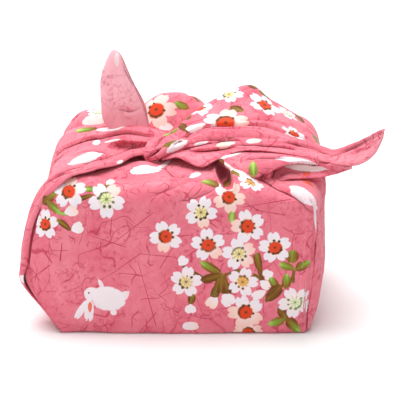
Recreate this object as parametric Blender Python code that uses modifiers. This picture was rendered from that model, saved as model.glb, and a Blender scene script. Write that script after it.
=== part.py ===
"""A furoshiki wrap: one thin square of cotton drawn round a lunch box and tied on top.

The cloth is one hollow solid. Its left and right corners rise as two pleated arms, cross in a
square knot, and end in a horn that stands up and a tail that runs out to the right.
Lengths in the tables are millimetres; the mesh is made in metres.
"""

import math

import bmesh
import bpy
from mathutils import Vector

MM = 0.001

# The lunch box that the cloth is drawn round, and the height of the flaps over its edge.
BOX_WIDTH = 130.0
BOX_DEPTH = 112.0
TOP_HEIGHT = 76.0
TOP_EDGE_DROP = 9.0
TOP_DOME = 7.0

# One layer of the drawn cloth, and a layer of the pleated forms. Where the two sides of a fold
# come close, each keeps LAYER_SHARE of the gap between them.
CLOTH = 2.0
LAYERED = 1.6
LAYER_SHARE = 0.42

# The mouth between two folds of the front flap: its middle, and its width and length.
MOUTH_CENTRE = (20.5, -45.0)
MOUTH_SIZE = (7.6, 15.0)
MOUTH_DEPTH = 24.0
MOUTH_SIDES = 14

# Steps between two named points of a ring, in the rounded top edge, and from there inwards.
RING_STEPS = 2
EDGE_STEPS = 3
CAP_STEPS = 7
RING_HEIGHTS = (0.0, 3.0, 10.0, 16.5, 23.0, 30.0, 40.0, 50.0, 58.5, 67.0)

# The wall at each height. A column ending in _out is how far that fold stands out from the
# box's side, and one ending in _in how far it lies in from the box's front. On the left a
# crease, then an ear with a trough between them, then the hollow side. On the right the hem of
# the front flap, then the side cloth.
WALL_COLUMNS = (
    "z", "front_out", "back_out",
    "crease_out", "crease_in", "ear_out", "ear_in", "side_out", "rear_ear_out",
    "hem_out", "right_out", "right_in", "right_side_out", "right_rear_out",
)
WALL_ROWS = (
    (0, 0.8, -0.5, -1.5, 0.2, 0.5, 5.0, -0.5, 0.0, -2.0, 0.0, 11.0, -0.5, 0.0),
    (10, 1.6, 1.0, 4.5, 0.8, 10.0, 9.0, 3.0, 5.0, -2.0, 5.5, 16.0, 3.0, 4.0),
    (23, 2.0, 1.5, 12.5, 4.0, 21.0, 15.0, 7.0, 10.0, -2.0, 9.0, 23.0, 5.5, 8.0),
    (36, 2.0, 1.5, 14.5, 5.5, 21.5, 16.0, 8.5, 12.0, -1.2, 9.3, 26.0, 6.5, 10.0),
    (50, 1.5, 1.0, 12.0, 6.0, 19.0, 16.0, 8.5, 11.5, 0.0, 8.3, 27.0, 7.0, 11.0),
    (67, 0.5, 0.5, 8.0, 7.0, 13.0, 15.0, 6.0, 9.0, 0.5, 6.3, 27.0, 6.0, 10.5),
)
# The line where the rounded top edge meets the flaps, in the same columns.
FLAP_ROW = (76, -9.5, -10.0, -7.0, 14.0, -1.0, 21.0, -1.0, -1.0, -11.0, -2.5, 26.0, -2.0, 0.0)

TROUGH_DEPTH = 0.22
FRONT_ROUND = (13.0, 1.6)
FRONT_SAG = 0.3
REAR_EAR_Y = 43.0
REAR_ROUND = (6.0, 4.5)
REAR_RUN = 17.0
SIDE_Y = (-24.0, -2.0, 22.0)
SIDE_EASE = (3.0, 1.0)
HEM_BACK = (2.4, 2.8)
HEM_ROUND = 1.8

# Where the flaps stand up over the box: three loose puffs behind the knot, and the soft fold
# beside the mouth.
PUFF_COLUMNS = ("x", "y", "reach_x", "reach_y", "height")
PUFF_ROWS = (
    (-3.0, 43.0, 27.0, 21.0, 26.5),
    (-55.0, 43.0, 15.0, 18.0, 13.0),
    (40.0, 40.0, 24.0, 18.0, 12.0),
    (28.0, -38.0, 7.0, 13.0, 3.5),
)

# Each drawn-up form is a fan of fold lines. A row is one section across the folds, from the
# foot on the wall to the knot, and a column is one fold line. arch is how far the cloth between
# it and the next line stands up, as a share of the gap between the two.
LEFT_ARM_COLUMNS = ("hem", "pleat_c", "pleat_b", "pleat_a", "rear", "rear_hem")
LEFT_ARM_ARCH = (0.16, 0.18, 0.15, 0.06, 0.0)
LEFT_ARM_ROWS = (
    ((-68, -45, 65), (-72, -39, 65), (-69, -24, 66), (-66, 2, 66), (-68, 38, 66), (-63, 50, 66)),
    ((-64, -49, 79), (-70, -42, 79), (-71, -25, 80), (-71, 0, 81), (-71, 36, 82), (-67, 54, 80)),
    ((-47, -46, 82), (-46, -31, 85), (-46, -17, 88), (-51, 2, 88), (-52, 22, 89), (-50, 38, 84)),
    ((-33, -36, 85), (-33, -25, 88), (-34, -15, 91), (-34, -2, 91), (-34, 9, 94), (-34, 18, 88)),
    ((-15, -18, 86), (-15, -14, 88), (-15, -10, 89), (-15, -6, 90), (-15, -2, 91), (-15, 2, 89)),
)

RIGHT_ARM_COLUMNS = ("front", "low_crease", "crease", "ridge", "rear")
RIGHT_ARM_ARCH = (0.10, 0.10, 0.06, 0.0)
RIGHT_ARM_ROWS = (
    ((-14, -21, 78), (-14, -19, 79.5), (-14, -16, 81), (-14, -12, 83), (-13, -8, 84)),
    ((-19.5, -22, 81), (-20.5, -20, 83.5), (-21, -17, 86), (-20, -12, 88), (-18, -7, 88)),
    ((-15, -23, 85), (-15.5, -21, 88.5), (-15, -17, 91), (-14, -11, 93), (-12, -5, 92)),
    ((-6, -20, 87), (-6, -17, 91), (-5, -12, 94.5), (-4, -4, 96.5), (-2, 3, 92)),
    ((8, -15, 90), (9, -8, 95), (11, 3, 98), (14, 26, 102), (12, 36, 90)),
    ((24, -18, 89), (26, -6, 95), (30, 14, 103), (36, 41, 110), (32, 56, 82)),
    ((50, -22, 86), (52, -4, 90), (56, 20, 97), (55, 48, 98), (50, 57, 78)),
    ((70, -28, 77), (73, -4, 78), (75, 22, 79), (74, 49, 83), (66, 57, 76)),
    ((66, -28, 65), (67, -4, 65), (68, 22, 65), (71, 44, 66), (63, 51, 65)),
)

TAIL_COLUMNS = ("hem", "crease_low", "crease_top", "edge", "back", "back_hem")
TAIL_ARCH = (0.10, 0.12, 0.10, 0.0, 0.0)
TAIL_ROWS = (
    ((-8, -21, 83), (-8, -20, 86.5), (-8, -16, 89.5), (-8, -9, 91.5), (-8, -8, 86), (-8, -14, 80)),
    ((8, -32, 81.5), (8, -22, 87), (8, -15, 91.5), (8, -7, 95), (8, -8, 88), (8, -17, 81)),
    ((20, -29, 86), (19, -22, 88.5), (19, -13, 93), (19, -5, 97), (19, -7, 89), (20, -18, 82)),
    ((34, -42, 79.5), (34, -26, 89), (34, -14, 94), (34, -5, 96.5), (35, -7, 89), (37, -29, 78)),
    ((58, -33, 84.5), (57, -26, 88.5), (57, -18, 91.5), (57, -8, 91.5), (58, -13, 83), (60, -31, 77)),
    ((82, -29, 81), (80, -24, 84.5), (80, -19, 86.5), (79, -13, 86.5), (80, -15, 80), (84, -25, 77)),
    ((98, -27, 83), (100, -26, 88), (102, -24, 93.5), (104, -20, 99), (103, -18, 93), (99, -20, 85)),
)

HORN_COLUMNS = ("front_edge", "front", "fold", "back", "back_edge")
HORN_ARCH = (0.06, 0.06, 0.0, 0.0)
HORN_ROWS = (
    ((-18, 1, 86), (-24, -1, 86), (-32, 3, 86), (-25, 7, 86), (-18, 8, 86)),
    ((-20, 4, 96), (-30, 3, 96), (-42, 7, 96), (-31, 11, 96), (-20, 12, 96)),
    ((-23, 5, 107), (-32, 4, 107), (-43.3, 8, 107), (-32, 12, 107), (-22, 13, 106)),
    ((-29, 6, 120), (-35, 6, 120), (-43.6, 9, 120), (-35, 12.5, 119), (-28, 13, 118)),
    ((-34, 7, 130), (-36.5, 7, 130.5), (-40.5, 9.5, 131), (-36.5, 12.5, 130), (-33.5, 12.5, 129)),
    ((-35.8, 8, 134), (-37, 8, 134.5), (-38.8, 10, 136), (-37.2, 12, 135), (-36, 12, 134)),
)

KNOT_CENTRE = (-9.0, -8.0, 87.0)
KNOT_SIZE = (30.0, 24.0, 15.0)

# Steps along the rows and across the columns of each form.
FORMS = (
    ("left_arm", LEFT_ARM_COLUMNS, LEFT_ARM_ROWS, LEFT_ARM_ARCH, 4, 4),
    ("right_arm", RIGHT_ARM_COLUMNS, RIGHT_ARM_ROWS, RIGHT_ARM_ARCH, 3, 4),
    ("tail", TAIL_COLUMNS, TAIL_ROWS, TAIL_ARCH, 3, 3),
    ("horn", HORN_COLUMNS, HORN_ROWS, HORN_ARCH, 3, 2),
)

CLOTH_COLOUR = (0.82, 0.21, 0.26, 1.0)
CLOTH_ROUGHNESS = 0.85
SHARP_ANGLE = 40.0


def between(p0, p1, p2, p3, t):
    """Catmull-Rom point between p1 and p2."""
    return 0.5 * (
        2.0 * p1
        + (p2 - p0) * t
        + (2.0 * p0 - 5.0 * p1 + 4.0 * p2 - p3) * t * t
        + (3.0 * p1 - p0 - 3.0 * p2 + p3) * t * t * t
    )


def smooth_line(points, steps, closed=False):
    """Points on the smooth line through these points, with this many steps between two."""
    count = len(points)
    line = []
    for index in range(count if closed else count - 1):
        if closed:
            near = [points[(index + shift) % count] for shift in (-1, 0, 1, 2)]
        else:
            near = [points[min(max(index + shift, 0), count - 1)] for shift in (-1, 0, 1, 2)]
        for step in range(steps):
            line.append(between(*near, step / steps))
    if not closed:
        line.append(points[-1].copy())
    return line


def linked_object(name, mesh, collection):
    data = bpy.data.meshes.new(name)
    mesh.to_mesh(data)
    mesh.free()
    obj = bpy.data.objects.new(name, data)
    collection.objects.link(obj)
    return obj


def closed_loft(name, rings, collection):
    """A closed object through these rings, with a fan of faces over each end."""
    mesh = bmesh.new()
    grid = [[mesh.verts.new(point * MM) for point in ring] for ring in rings]
    count = len(grid[0])
    for lower, upper in zip(grid, grid[1:]):
        for index in range(count):
            following = (index + 1) % count
            mesh.faces.new((lower[index], lower[following], upper[following], upper[index]))
    for ring in (grid[0], grid[-1]):
        middle = mesh.verts.new(sum((vert.co for vert in ring), Vector()) / count)
        for index in range(count):
            mesh.faces.new((ring[index], ring[(index + 1) % count], middle))
    bmesh.ops.triangulate(mesh, faces=mesh.faces)
    bmesh.ops.recalc_face_normals(mesh, faces=mesh.faces)
    return linked_object(name, mesh, collection)


def open_sheet(name, sections, collection):
    """An open sheet through these sections, facing along the rows times across them."""
    mesh = bmesh.new()
    grid = [[mesh.verts.new(point * MM) for point in section] for section in sections]
    for lower, upper in zip(grid, grid[1:]):
        for index in range(len(lower) - 1):
            mesh.faces.new((lower[index], upper[index], upper[index + 1], lower[index + 1]))
    return linked_object(name, mesh, collection)


def named_rows(columns, rows):
    return [dict(zip(columns, row)) for row in rows]


WALL = named_rows(WALL_COLUMNS, WALL_ROWS)
FLAP = named_rows(WALL_COLUMNS, (FLAP_ROW,))[0]
PUFFS = named_rows(PUFF_COLUMNS, PUFF_ROWS)


def wall_at(z):
    """The wall's sizes at this height, between the two rows around it."""
    for lower, upper in zip(WALL, WALL[1:]):
        if z <= upper["z"]:
            share = (z - lower["z"]) / (upper["z"] - lower["z"])
            return {key: lower[key] + share * (upper[key] - lower[key]) for key in WALL_COLUMNS}
    return WALL[-1]


def plan_ring(size):
    """The wall's closed plan outline, from the middle of the front round by the left."""
    side_x = 0.5 * BOX_WIDTH
    front_y = -0.5 * BOX_DEPTH
    quarter = 0.5 * side_x
    front = front_y - size["front_out"]
    back = -front_y + size["back_out"]
    crease = Vector((-side_x - size["crease_out"], front_y + size["crease_in"], 0.0))
    ear = Vector((-side_x - size["ear_out"], front_y + size["ear_in"], 0.0))
    trough = crease.lerp(ear, 0.5)
    trough += TROUGH_DEPTH * Vector((ear.y - crease.y, crease.x - ear.x, 0.0))
    left = -side_x - size["side_out"]
    rear_left = -side_x - size["rear_ear_out"]
    rear_right = side_x + size["right_rear_out"]
    right = side_x + size["right_side_out"]
    hem = side_x + size["hem_out"]
    points = (
        (0.0, front),
        (-quarter, front + FRONT_SAG),
        (crease.x + FRONT_ROUND[0], front + FRONT_ROUND[1]),
        (crease.x, crease.y),
        (trough.x, trough.y),
        (ear.x, ear.y),
        (left - SIDE_EASE[0], SIDE_Y[0]),
        (left, SIDE_Y[1]),
        (left - SIDE_EASE[1], SIDE_Y[2]),
        (rear_left, REAR_EAR_Y),
        (rear_left + REAR_ROUND[0], back - REAR_ROUND[1]),
        (rear_left + REAR_RUN, back),
        (-0.6 * quarter, back + FRONT_SAG),
        (0.6 * quarter, back),
        (rear_right - REAR_RUN, back - FRONT_SAG),
        (rear_right - REAR_ROUND[0], back - REAR_ROUND[1]),
        (rear_right, REAR_EAR_Y),
        (right + SIDE_EASE[1], SIDE_Y[2]),
        (right, SIDE_Y[1]),
        (side_x + size["right_out"], front_y + size["right_in"]),
        (hem + HEM_BACK[0], front + HEM_ROUND + HEM_BACK[1]),
        (hem, front + HEM_ROUND),
        (quarter, front + FRONT_SAG),
    )
    return smooth_line([Vector((x, y, 0.0)) for x, y in points], RING_STEPS, closed=True)


def inset_ring(ring, inset):
    """The ring moved inwards by this much, square to its own line."""
    count = len(ring)
    moved = []
    for index, point in enumerate(ring):
        along = ring[(index + 1) % count] - ring[index - 1]
        inward = Vector((along.y, -along.x, 0.0)).normalized()
        moved.append(point + inward * inset)
    return moved


def top_height(x, y):
    """Height of the flaps over the box, with the dome under the knot and the puffs behind."""
    across = min(1.0, math.hypot(x / (0.5 * BOX_WIDTH), y / (0.5 * BOX_DEPTH)))
    height = TOP_HEIGHT + TOP_DOME * (1.0 - across * across)
    for puff in PUFFS:
        side = abs(x - puff["x"]) / puff["reach_x"]
        depth = abs(y - puff["y"]) / puff["reach_y"]
        height += puff["height"] * math.exp(-(side**3) - depth**3)
    return height


def body_rings(inset):
    """Rings from the foot to the middle of the top, all moved inwards by inset."""
    bend = WALL[-2]["z"]
    rim_z = WALL[-1]["z"]
    rims = [top_height(point.x, point.y) - TOP_EDGE_DROP for point in plan_ring(WALL[-1])]
    rings = []
    for z in [inset] + [height for height in RING_HEIGHTS if height > inset]:
        ring = inset_ring(plan_ring(wall_at(z)), inset)
        for point, rim in zip(ring, rims):
            point.z = z + max(0.0, (z - bend) / (rim_z - bend)) * (rim - rim_z)
        rings.append(ring)
    edge_ring = rings[-1]
    flap_ring = inset_ring(plan_ring(FLAP), 0.5 * inset)
    for step in range(1, EDGE_STEPS + 1):
        angle = 0.5 * math.pi * step / EDGE_STEPS
        ring = []
        for edge, flap in zip(edge_ring, flap_ring):
            point = edge.lerp(flap, 1.0 - math.cos(angle))
            top = top_height(flap.x, flap.y) - inset
            point.z = edge.z + (top - edge.z) * math.sin(angle)
            ring.append(point)
        rings.append(ring)
    for step in range(1, CAP_STEPS):
        share = 1.0 - step / CAP_STEPS
        ring = []
        for flap in flap_ring:
            height = top_height(flap.x * share, flap.y * share) - inset
            ring.append(Vector((flap.x * share, flap.y * share, height)))
        rings.append(ring)
    return rings


def form_sections(columns, rows, arch, along_steps, across_steps):
    """Sections of a pleated form: smooth along each fold line, arched from one to the next."""
    table = named_rows(columns, rows)
    lines = [
        smooth_line([Vector(row[column]) for row in table], along_steps) for column in columns
    ]
    last = len(lines[0]) - 1
    sections = []
    for index in range(last + 1):
        folds = [line[index] for line in lines]
        after, before = min(index + 1, last), max(index - 1, 0)
        along = lines[0][after] + lines[-1][after] - lines[0][before] - lines[-1][before]
        section = smooth_line(folds, across_steps)
        for span, height in enumerate(arch):
            across = folds[span + 1] - folds[span]
            outward = along.cross(across).normalized()
            for step in range(1, across_steps):
                share = step / across_steps
                lift = height * across.length * 4.0 * share * (1.0 - share)
                section[span * across_steps + step] += outward * lift
        sections.append(section)
    return sections


def layer_share(section, index):
    """How much of its full thickness a layer keeps here, so that a fold's two sides don't cross."""
    others = [
        (point - section[index]).length
        for place, point in enumerate(section)
        if abs(place - index) > 1
    ]
    return min(1.0, LAYER_SHARE * min(others) / LAYERED)


def add_thickness(obj, sections):
    group = obj.vertex_groups.new(name="layer")
    width = len(sections[0])
    for row, section in enumerate(sections):
        for index in range(width):
            group.add([row * width + index], layer_share(section, index), "REPLACE")
    solidify = obj.modifiers.new("thickness", "SOLIDIFY")
    solidify.thickness = LAYERED * MM
    solidify.offset = -1.0
    solidify.vertex_group = group.name


def make_helper(obj):
    obj.hide_render = True
    obj.display_type = "WIRE"


def join(body, form, operation):
    boolean = body.modifiers.new(form.name, "BOOLEAN")
    boolean.operation = operation
    boolean.solver = "EXACT"
    boolean.use_self = True
    boolean.object = form
    make_helper(form)


def cloth_material():
    material = bpy.data.materials.new("printed_cotton")
    material.use_nodes = True
    shader = material.node_tree.nodes["Principled BSDF"]
    shader.inputs["Base Color"].default_value = CLOTH_COLOUR
    shader.inputs["Roughness"].default_value = CLOTH_ROUGHNESS
    shader.inputs["Metallic"].default_value = 0.0
    return material


def new_collection(name):
    collection = bpy.data.collections.new(name)
    bpy.context.scene.collection.children.link(collection)
    return collection


def make_form(name, columns, rows, arch, along_steps, across_steps, collection):
    sections = form_sections(columns, rows, arch, along_steps, across_steps)
    form = open_sheet(name, sections, collection)
    add_thickness(form, sections)
    return form


def make_knot(collection):
    """The crossing of the two arms, mostly hidden under the strand that passes over it."""
    mesh = bmesh.new()
    bmesh.ops.create_icosphere(mesh, subdivisions=2, radius=0.5)
    bmesh.ops.scale(mesh, vec=Vector(KNOT_SIZE) * MM, verts=mesh.verts)
    bmesh.ops.translate(mesh, vec=Vector(KNOT_CENTRE) * MM, verts=mesh.verts)
    return linked_object("knot_core", mesh, collection)


def make_mouth(collection):
    """The cutter for the mouth, an upright oval prism from the hollow out through the flap."""
    mesh = bmesh.new()
    bmesh.ops.create_cone(
        mesh, cap_ends=True, segments=MOUTH_SIDES, radius1=0.5, radius2=0.5, depth=MOUTH_DEPTH
    )
    bmesh.ops.scale(mesh, vec=Vector((*MOUTH_SIZE, 1.0)) * MM, verts=mesh.verts)
    bmesh.ops.translate(mesh, vec=Vector((*MOUTH_CENTRE, TOP_HEIGHT)) * MM, verts=mesh.verts)
    return linked_object("mouth", mesh, collection)


def main():
    for obj in list(bpy.data.objects):
        bpy.data.objects.remove(obj, do_unlink=True)
    wrap = new_collection("furoshiki_wrap")
    helpers = new_collection("forms_and_cutters")

    cloth = closed_loft("furoshiki_cloth", body_rings(0.0), wrap)
    cloth.data.materials.append(cloth_material())
    for form in FORMS:
        join(cloth, make_form(*form, helpers), "UNION")
    join(cloth, make_knot(helpers), "UNION")
    join(cloth, closed_loft("hollow", body_rings(CLOTH), helpers), "DIFFERENCE")
    join(cloth, make_mouth(helpers), "DIFFERENCE")
    cloth.data.shade_smooth()
    cloth.data.set_sharp_from_angle(angle=math.radians(SHARP_ANGLE))


main()
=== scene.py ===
import math
from functools import partial

import bmesh
import bpy
import numpy as np
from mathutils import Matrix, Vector, noise


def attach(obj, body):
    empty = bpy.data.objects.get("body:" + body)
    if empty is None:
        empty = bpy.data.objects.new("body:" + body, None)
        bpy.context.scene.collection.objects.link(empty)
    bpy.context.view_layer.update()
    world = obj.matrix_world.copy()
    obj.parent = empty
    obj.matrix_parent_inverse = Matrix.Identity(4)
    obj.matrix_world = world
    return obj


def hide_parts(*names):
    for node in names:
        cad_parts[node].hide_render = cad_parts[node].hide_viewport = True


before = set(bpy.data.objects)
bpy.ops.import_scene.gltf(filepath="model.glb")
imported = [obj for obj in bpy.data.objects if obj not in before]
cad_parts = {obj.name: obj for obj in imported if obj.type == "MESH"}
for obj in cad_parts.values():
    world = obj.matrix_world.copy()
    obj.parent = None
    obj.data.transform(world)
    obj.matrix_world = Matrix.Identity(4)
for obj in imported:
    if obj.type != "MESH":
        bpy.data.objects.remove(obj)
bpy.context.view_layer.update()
millimetre = 0.001

# the camera, kept apart because prints and folds are placed by how they look from it
cameraSet = {
    "distance": 750.0,          # mm from the middle of the wrap
    "elevation": 17.0,          # degrees above the table
    "target": (8.0, 0.0, 55.0),
    "lens": 124.0,              # mm, as is the sensor
    "sensor": 36.0,
}

# what all the sheets share, in mm
clothSet = {
    "thickness": 0.7,           # the real cotton's is about 0.4
    "hemWidth": 4.4,            # the hem is folded over, so it stands a little proud
    "hemRise": 0.35,
    "hemEdge": 3.0,             # how sharply the hem ends
    "plainFrom": 60.0,          # where the threads of an edge with no hem start
    "waves": ((14, 0.5, 3), (5, 0.22, 4)),  # see ripple
}


def smoothRun(points, spacing):
    # a smooth run through the first axis of points, with a step about every spacing mm
    points = np.concatenate([2 * points[:1] - points[1:2], points, 2 * points[-1:] - points[-2:-1]])
    run = []
    for p0, p1, p2, p3 in zip(points, points[1:], points[2:], points[3:]):
        reach = np.linalg.norm((p2 - p1)[..., :3], axis=-1).max()
        steps = max(2, round(reach / spacing))
        t = (np.arange(steps) / steps).reshape(-1, *[1] * p1.ndim)
        run.append(0.5 * (2 * p1 + (p2 - p0) * t + (2 * p0 - 5 * p1 + 4 * p2 - p3) * t**2
                          + (3 * p1 - p0 - 3 * p2 + p3) * t**3))
    run.append(points[-2:-1])
    return np.concatenate(run)


def resample(line, count):
    # the line again, with count points evenly along it
    along = np.concatenate([[0], np.cumsum(np.linalg.norm(np.diff(line, axis=0), axis=1))])
    at = np.linspace(0, along[-1], count)
    return np.stack([np.interp(at, along, line[:, axis]) for axis in range(line.shape[1])], axis=1)


def stepSums(grid, axis):
    # how far each point of a grid is from its first edge, along the cloth
    steps = np.diff(grid, axis=axis, prepend=grid.take([0], axis=axis))
    return np.cumsum(np.linalg.norm(steps, axis=-1), axis=axis)


def gridNormals(grid, closed=False):
    # unit normals of a grid of points, along the rows times across them
    along = np.gradient(grid, axis=0)
    if closed:
        wide = np.concatenate([grid[:, -2:-1], grid, grid[:, 1:2]], axis=1)
        across = (wide[:, 2:] - wide[:, :-2]) * 0.5
    else:
        across = np.gradient(grid, axis=1)
    normals = np.cross(along, across)
    return normals / np.maximum(np.linalg.norm(normals, axis=-1, keepdims=True), 1e-9)


def fanGrid(rows, sharp, arch, spacing):
    # A fan of fold lines made a fine grid: smooth along each line, and across from line to line
    # except at the sharp ones, with the cloth between two lines arched by a share of their gap.
    rows = np.array(rows, float)
    count = rows.shape[1]
    place = np.broadcast_to(np.arange(count, dtype=float)[None, :, None], (*rows.shape[:2], 1))
    lines = smoothRun(np.concatenate([rows, place], axis=2), spacing)
    stops = [0, *sharp, count - 1]
    parts = []
    for first, last in zip(stops, stops[1:]):
        part = smoothRun(lines[:, first:last + 1].swapaxes(0, 1), spacing).swapaxes(0, 1)
        parts.append(part if last == count - 1 else part[:, :-1])
    grid = np.concatenate(parts, axis=1)
    points, place = grid[..., :3], grid[..., 3]
    span = np.minimum(place.astype(int), count - 2)
    share = place - span
    gap = np.linalg.norm(np.diff(lines[..., :3], axis=1), axis=-1)
    width = np.take_along_axis(gap, span, axis=1)
    lift = np.array(arch)[span] * width * 4 * share * (1 - share)
    return points + gridNormals(points) * lift[..., None]


sideViews = {  # across, up and towards the viewer
    "back": ((-1, 0, 0), (0, 0, 1), (0, 1, 0)),
    "left": ((0, -1, 0), (0, 0, 1), (-1, 0, 0)),
    "right": ((0, 1, 0), (0, 0, 1), (1, 0, 0)),
    "top": ((1, 0, 0), (0, 1, 0), (0, 0, 1)),
}


def viewAxes(view):
    if view != "front":
        return np.array(sideViews[view], float)
    tilt = math.radians(cameraSet["elevation"])
    return np.array([(1, 0, 0), (0, math.sin(tilt), math.cos(tilt)), (0, -math.cos(tilt), math.sin(tilt))])


def seen(points):
    # where the camera sees these points: mm across and up on the plane through its target,
    # and how far off they are
    tilt = math.radians(cameraSet["elevation"])
    away = cameraSet["distance"]
    x, y, z = np.moveaxis(np.asarray(points, float) - cameraSet["target"], -1, 0)
    depth = away + y * math.cos(tilt) - z * math.sin(tilt)
    up = z * math.cos(tilt) + y * math.sin(tilt)
    return np.stack([x * away / depth, up * away / depth, depth], axis=-1)


def placesIn(view, points):
    # where points lie in a view, across and up, and how near they are to its viewer
    if view == "front":
        places = seen(points)
        return places[:, :2], -places[:, 2]
    across, up, toward = viewAxes(view)
    return np.stack([points @ across, points @ up], axis=1), points @ toward


def layRoute(points, places, near, normals, aims):
    # places in a view laid on the cloth that is nearest there: which of them meet it, the points
    # where they do, and its normals there
    met, line, outward = [], [], []
    reach, falloff, layer = 1.3, 0.6, 2.5
    for index, aim in enumerate(aims):
        gap = np.linalg.norm(places - aim, axis=-1)
        close = gap < reach
        if close.any():
            weight = np.exp(-((gap[close] / falloff) ** 2)) * (near[close] > near[close].max() - layer)
            met.append(index)
            line.append((points[close] * weight[:, None]).sum(axis=0) / weight.sum())
            outward.append((normals[close] * weight[:, None]).sum(axis=0))
    outward = np.array(outward)
    return met, np.array(line), outward / np.linalg.norm(outward, axis=-1, keepdims=True)


def traceRoute(points, places, near, normals, axes, route, depth):
    # a route in a view, laid on the cloth; it starts off by as much as the fold will move it
    wanted = smoothRun(np.array(route, float), 0.8)
    met, line, outward = layRoute(points, places, near, normals, wanted)
    again = layRoute(points, places, near, normals, wanted[met] + 0.8 * depth * outward @ axes.T)
    if len(again[0]) > 0.7 * len(met):
        line, outward = again[1:]
    return (line[:-2] + 2 * line[1:-1] + line[2:]) / 4, outward[1:-1]


def besideRoute(spots, outward, line, lineNormals, depth):
    # how far each spot is to the left of a route (below 0 on its right), and how much of a fold
    # reaches it: less at the ends, off the route's level and where the cloth faces another way
    ways = np.gradient(line, axis=0)
    ways /= np.linalg.norm(ways, axis=1, keepdims=True)
    far = np.full(len(spots), 1e9)
    at = np.zeros(len(spots), int)
    for index, point in enumerate(line):
        gap = np.linalg.norm(spots - point, axis=1)
        at = np.where(gap < far, index, at)
        far = np.minimum(far, gap)
    offset = spots - line[at]
    deep = (offset * outward).sum(axis=1)
    offset -= outward * deep[:, None]
    hand = (np.cross(ways[at], offset) * outward).sum(axis=1)
    ends = (offset * ways[at]).sum(axis=1) * ((at == 0) | (at == len(line) - 1))
    fade = np.clip(np.sin(np.pi * (0.04 + 0.92 * at / len(line))), 0, 1) ** 0.5 * np.exp(-(ends**2))
    fade = fade * np.clip(1 - (np.abs(deep) - 3) / (1 + abs(depth)), 0, 1)
    fade *= np.clip(((outward * lineNormals[at]).sum(axis=1) + 0.1) / 0.5, 0, 1)
    return hand, fade


def pressFolds(grid, folds, closed=False):
    # Presses troughs (depth above 0) and ridges into a grid. A fold is a view, its widths on the
    # left and the right of its route, a depth, and the route in that view in mm; it fades at both
    # ends. A narrow and a wide side make the edge of a pleat and the slope that it lies over. It
    # also gives back, for the shadow in the nearest narrow fold, each point's distance from its
    # route (below 0 on the slope), how dark that shadow is, and how far it spreads.
    shape = grid.shape
    shade = np.tile((9.0, 0.0, 1.0), (shape[0] * shape[1], 1))
    for view, widths, depth, route in folds:
        normals = gridNormals(grid, closed).reshape(-1, 3)
        points = grid.reshape(-1, 3)
        axes = viewAxes(view)
        facing = normals @ axes[2] > -0.1
        places, near = placesIn(view, points)
        line, lineNormals = traceRoute(points[facing], places[facing], near[facing], normals[facing],
                                       axes[:2], route, depth)
        span = 3 * max(widths)
        chosen = ((points > line.min(axis=0) - span) & (points < line.max(axis=0) + span)).all(axis=1)
        chosen = np.flatnonzero(chosen & facing)
        spots, outward = points[chosen], normals[chosen]
        hand, fade = besideRoute(spots, outward, line, lineNormals, depth)
        width = np.where(hand < 0, widths[1], widths[0])
        amount = np.exp(-((hand / width) ** 2)) * depth * fade
        points = points.copy()
        points[chosen] -= outward * amount[:, None]
        grid = points.reshape(shape)
        if depth > 0 and min(widths) < 1:
            spread = 0.65 * max(widths)
            hand = hand if widths[0] <= widths[1] else -hand
            dark = min(1.0, depth / 1.5) * fade * np.clip(1.3 - np.abs(hand) / (spread + 1), 0, 1)
            nearer = np.abs(hand) < np.abs(shade[chosen, 0])
            shade[chosen[nearer]] = np.column_stack([hand, dark, np.full(len(hand), spread)])[nearer]
    return grid, shade.reshape(shape)


def ripple(grid, waves):
    # fine unevenness: each wave is a size in mm, a height in mm and a seed
    lift = np.zeros(grid.shape[:2])
    for size, height, seed in waves:
        place = grid.reshape(-1, 3) / size + (seed * 7.3, seed * 3.1, seed)
        lift += height * np.array([noise.noise(Vector(point)) for point in place]).reshape(lift.shape)
    return grid + gridNormals(grid) * lift[..., None]


def addObject(name, data):
    made = bpy.data.objects.new(name, data)
    bpy.context.scene.collection.objects.link(made)
    return made


def clothPiece(name, grid, shade, hemmed):
    # One sheet of cloth from a grid of points in mm, its wrong side towards the inside. The UV map
    # holds the cloth's own threads, in mm from its first edge and along it, so that the weave and
    # the hem follow the folds; the rows that aren't hemmed start further in.
    grid = grid.copy()
    grid[..., 2] = np.maximum(grid[..., 2], 0.0)
    rows, columns = grid.shape[:2]
    across, along = stepSums(grid, 1), stepSums(grid, 0)
    across[:hemmed[0]] += clothSet["plainFrom"]
    across[hemmed[1]:] += clothSet["plainFrom"]
    mesh = bmesh.new()
    bmesh.ops.create_grid(mesh, x_segments=columns - 1, y_segments=rows - 1, size=0.5)
    threads = mesh.loops.layers.uv.new("threads")
    crease = mesh.loops.layers.float_vector.new("crease")
    place = {}
    for vertex in mesh.verts:
        column = round((vertex.co.x + 0.5) * (columns - 1))
        row = round((vertex.co.y + 0.5) * (rows - 1))
        place[vertex] = (across[row, column], along[row, column]), shade[row, column]
        vertex.co = grid[row, column] * millimetre
    for face in mesh.faces:
        face.smooth = True
        for corner in face.loops:
            corner[threads].uv, corner[crease] = place[corner.vert]
    bmesh.ops.reverse_faces(mesh, faces=mesh.faces)
    bmesh.ops.remove_doubles(mesh, verts=mesh.verts, dist=1e-5)
    bmesh.ops.dissolve_degenerate(mesh, edges=mesh.edges, dist=1e-6)
    data = bpy.data.meshes.new(name)
    mesh.to_mesh(data)
    mesh.free()
    piece = addObject(name, data)
    solidify = piece.modifiers.new("thickness", "SOLIDIFY")
    solidify.thickness = clothSet["thickness"] * millimetre
    solidify.offset = -1.0
    solidify.material_offset = 1
    return piece


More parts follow.
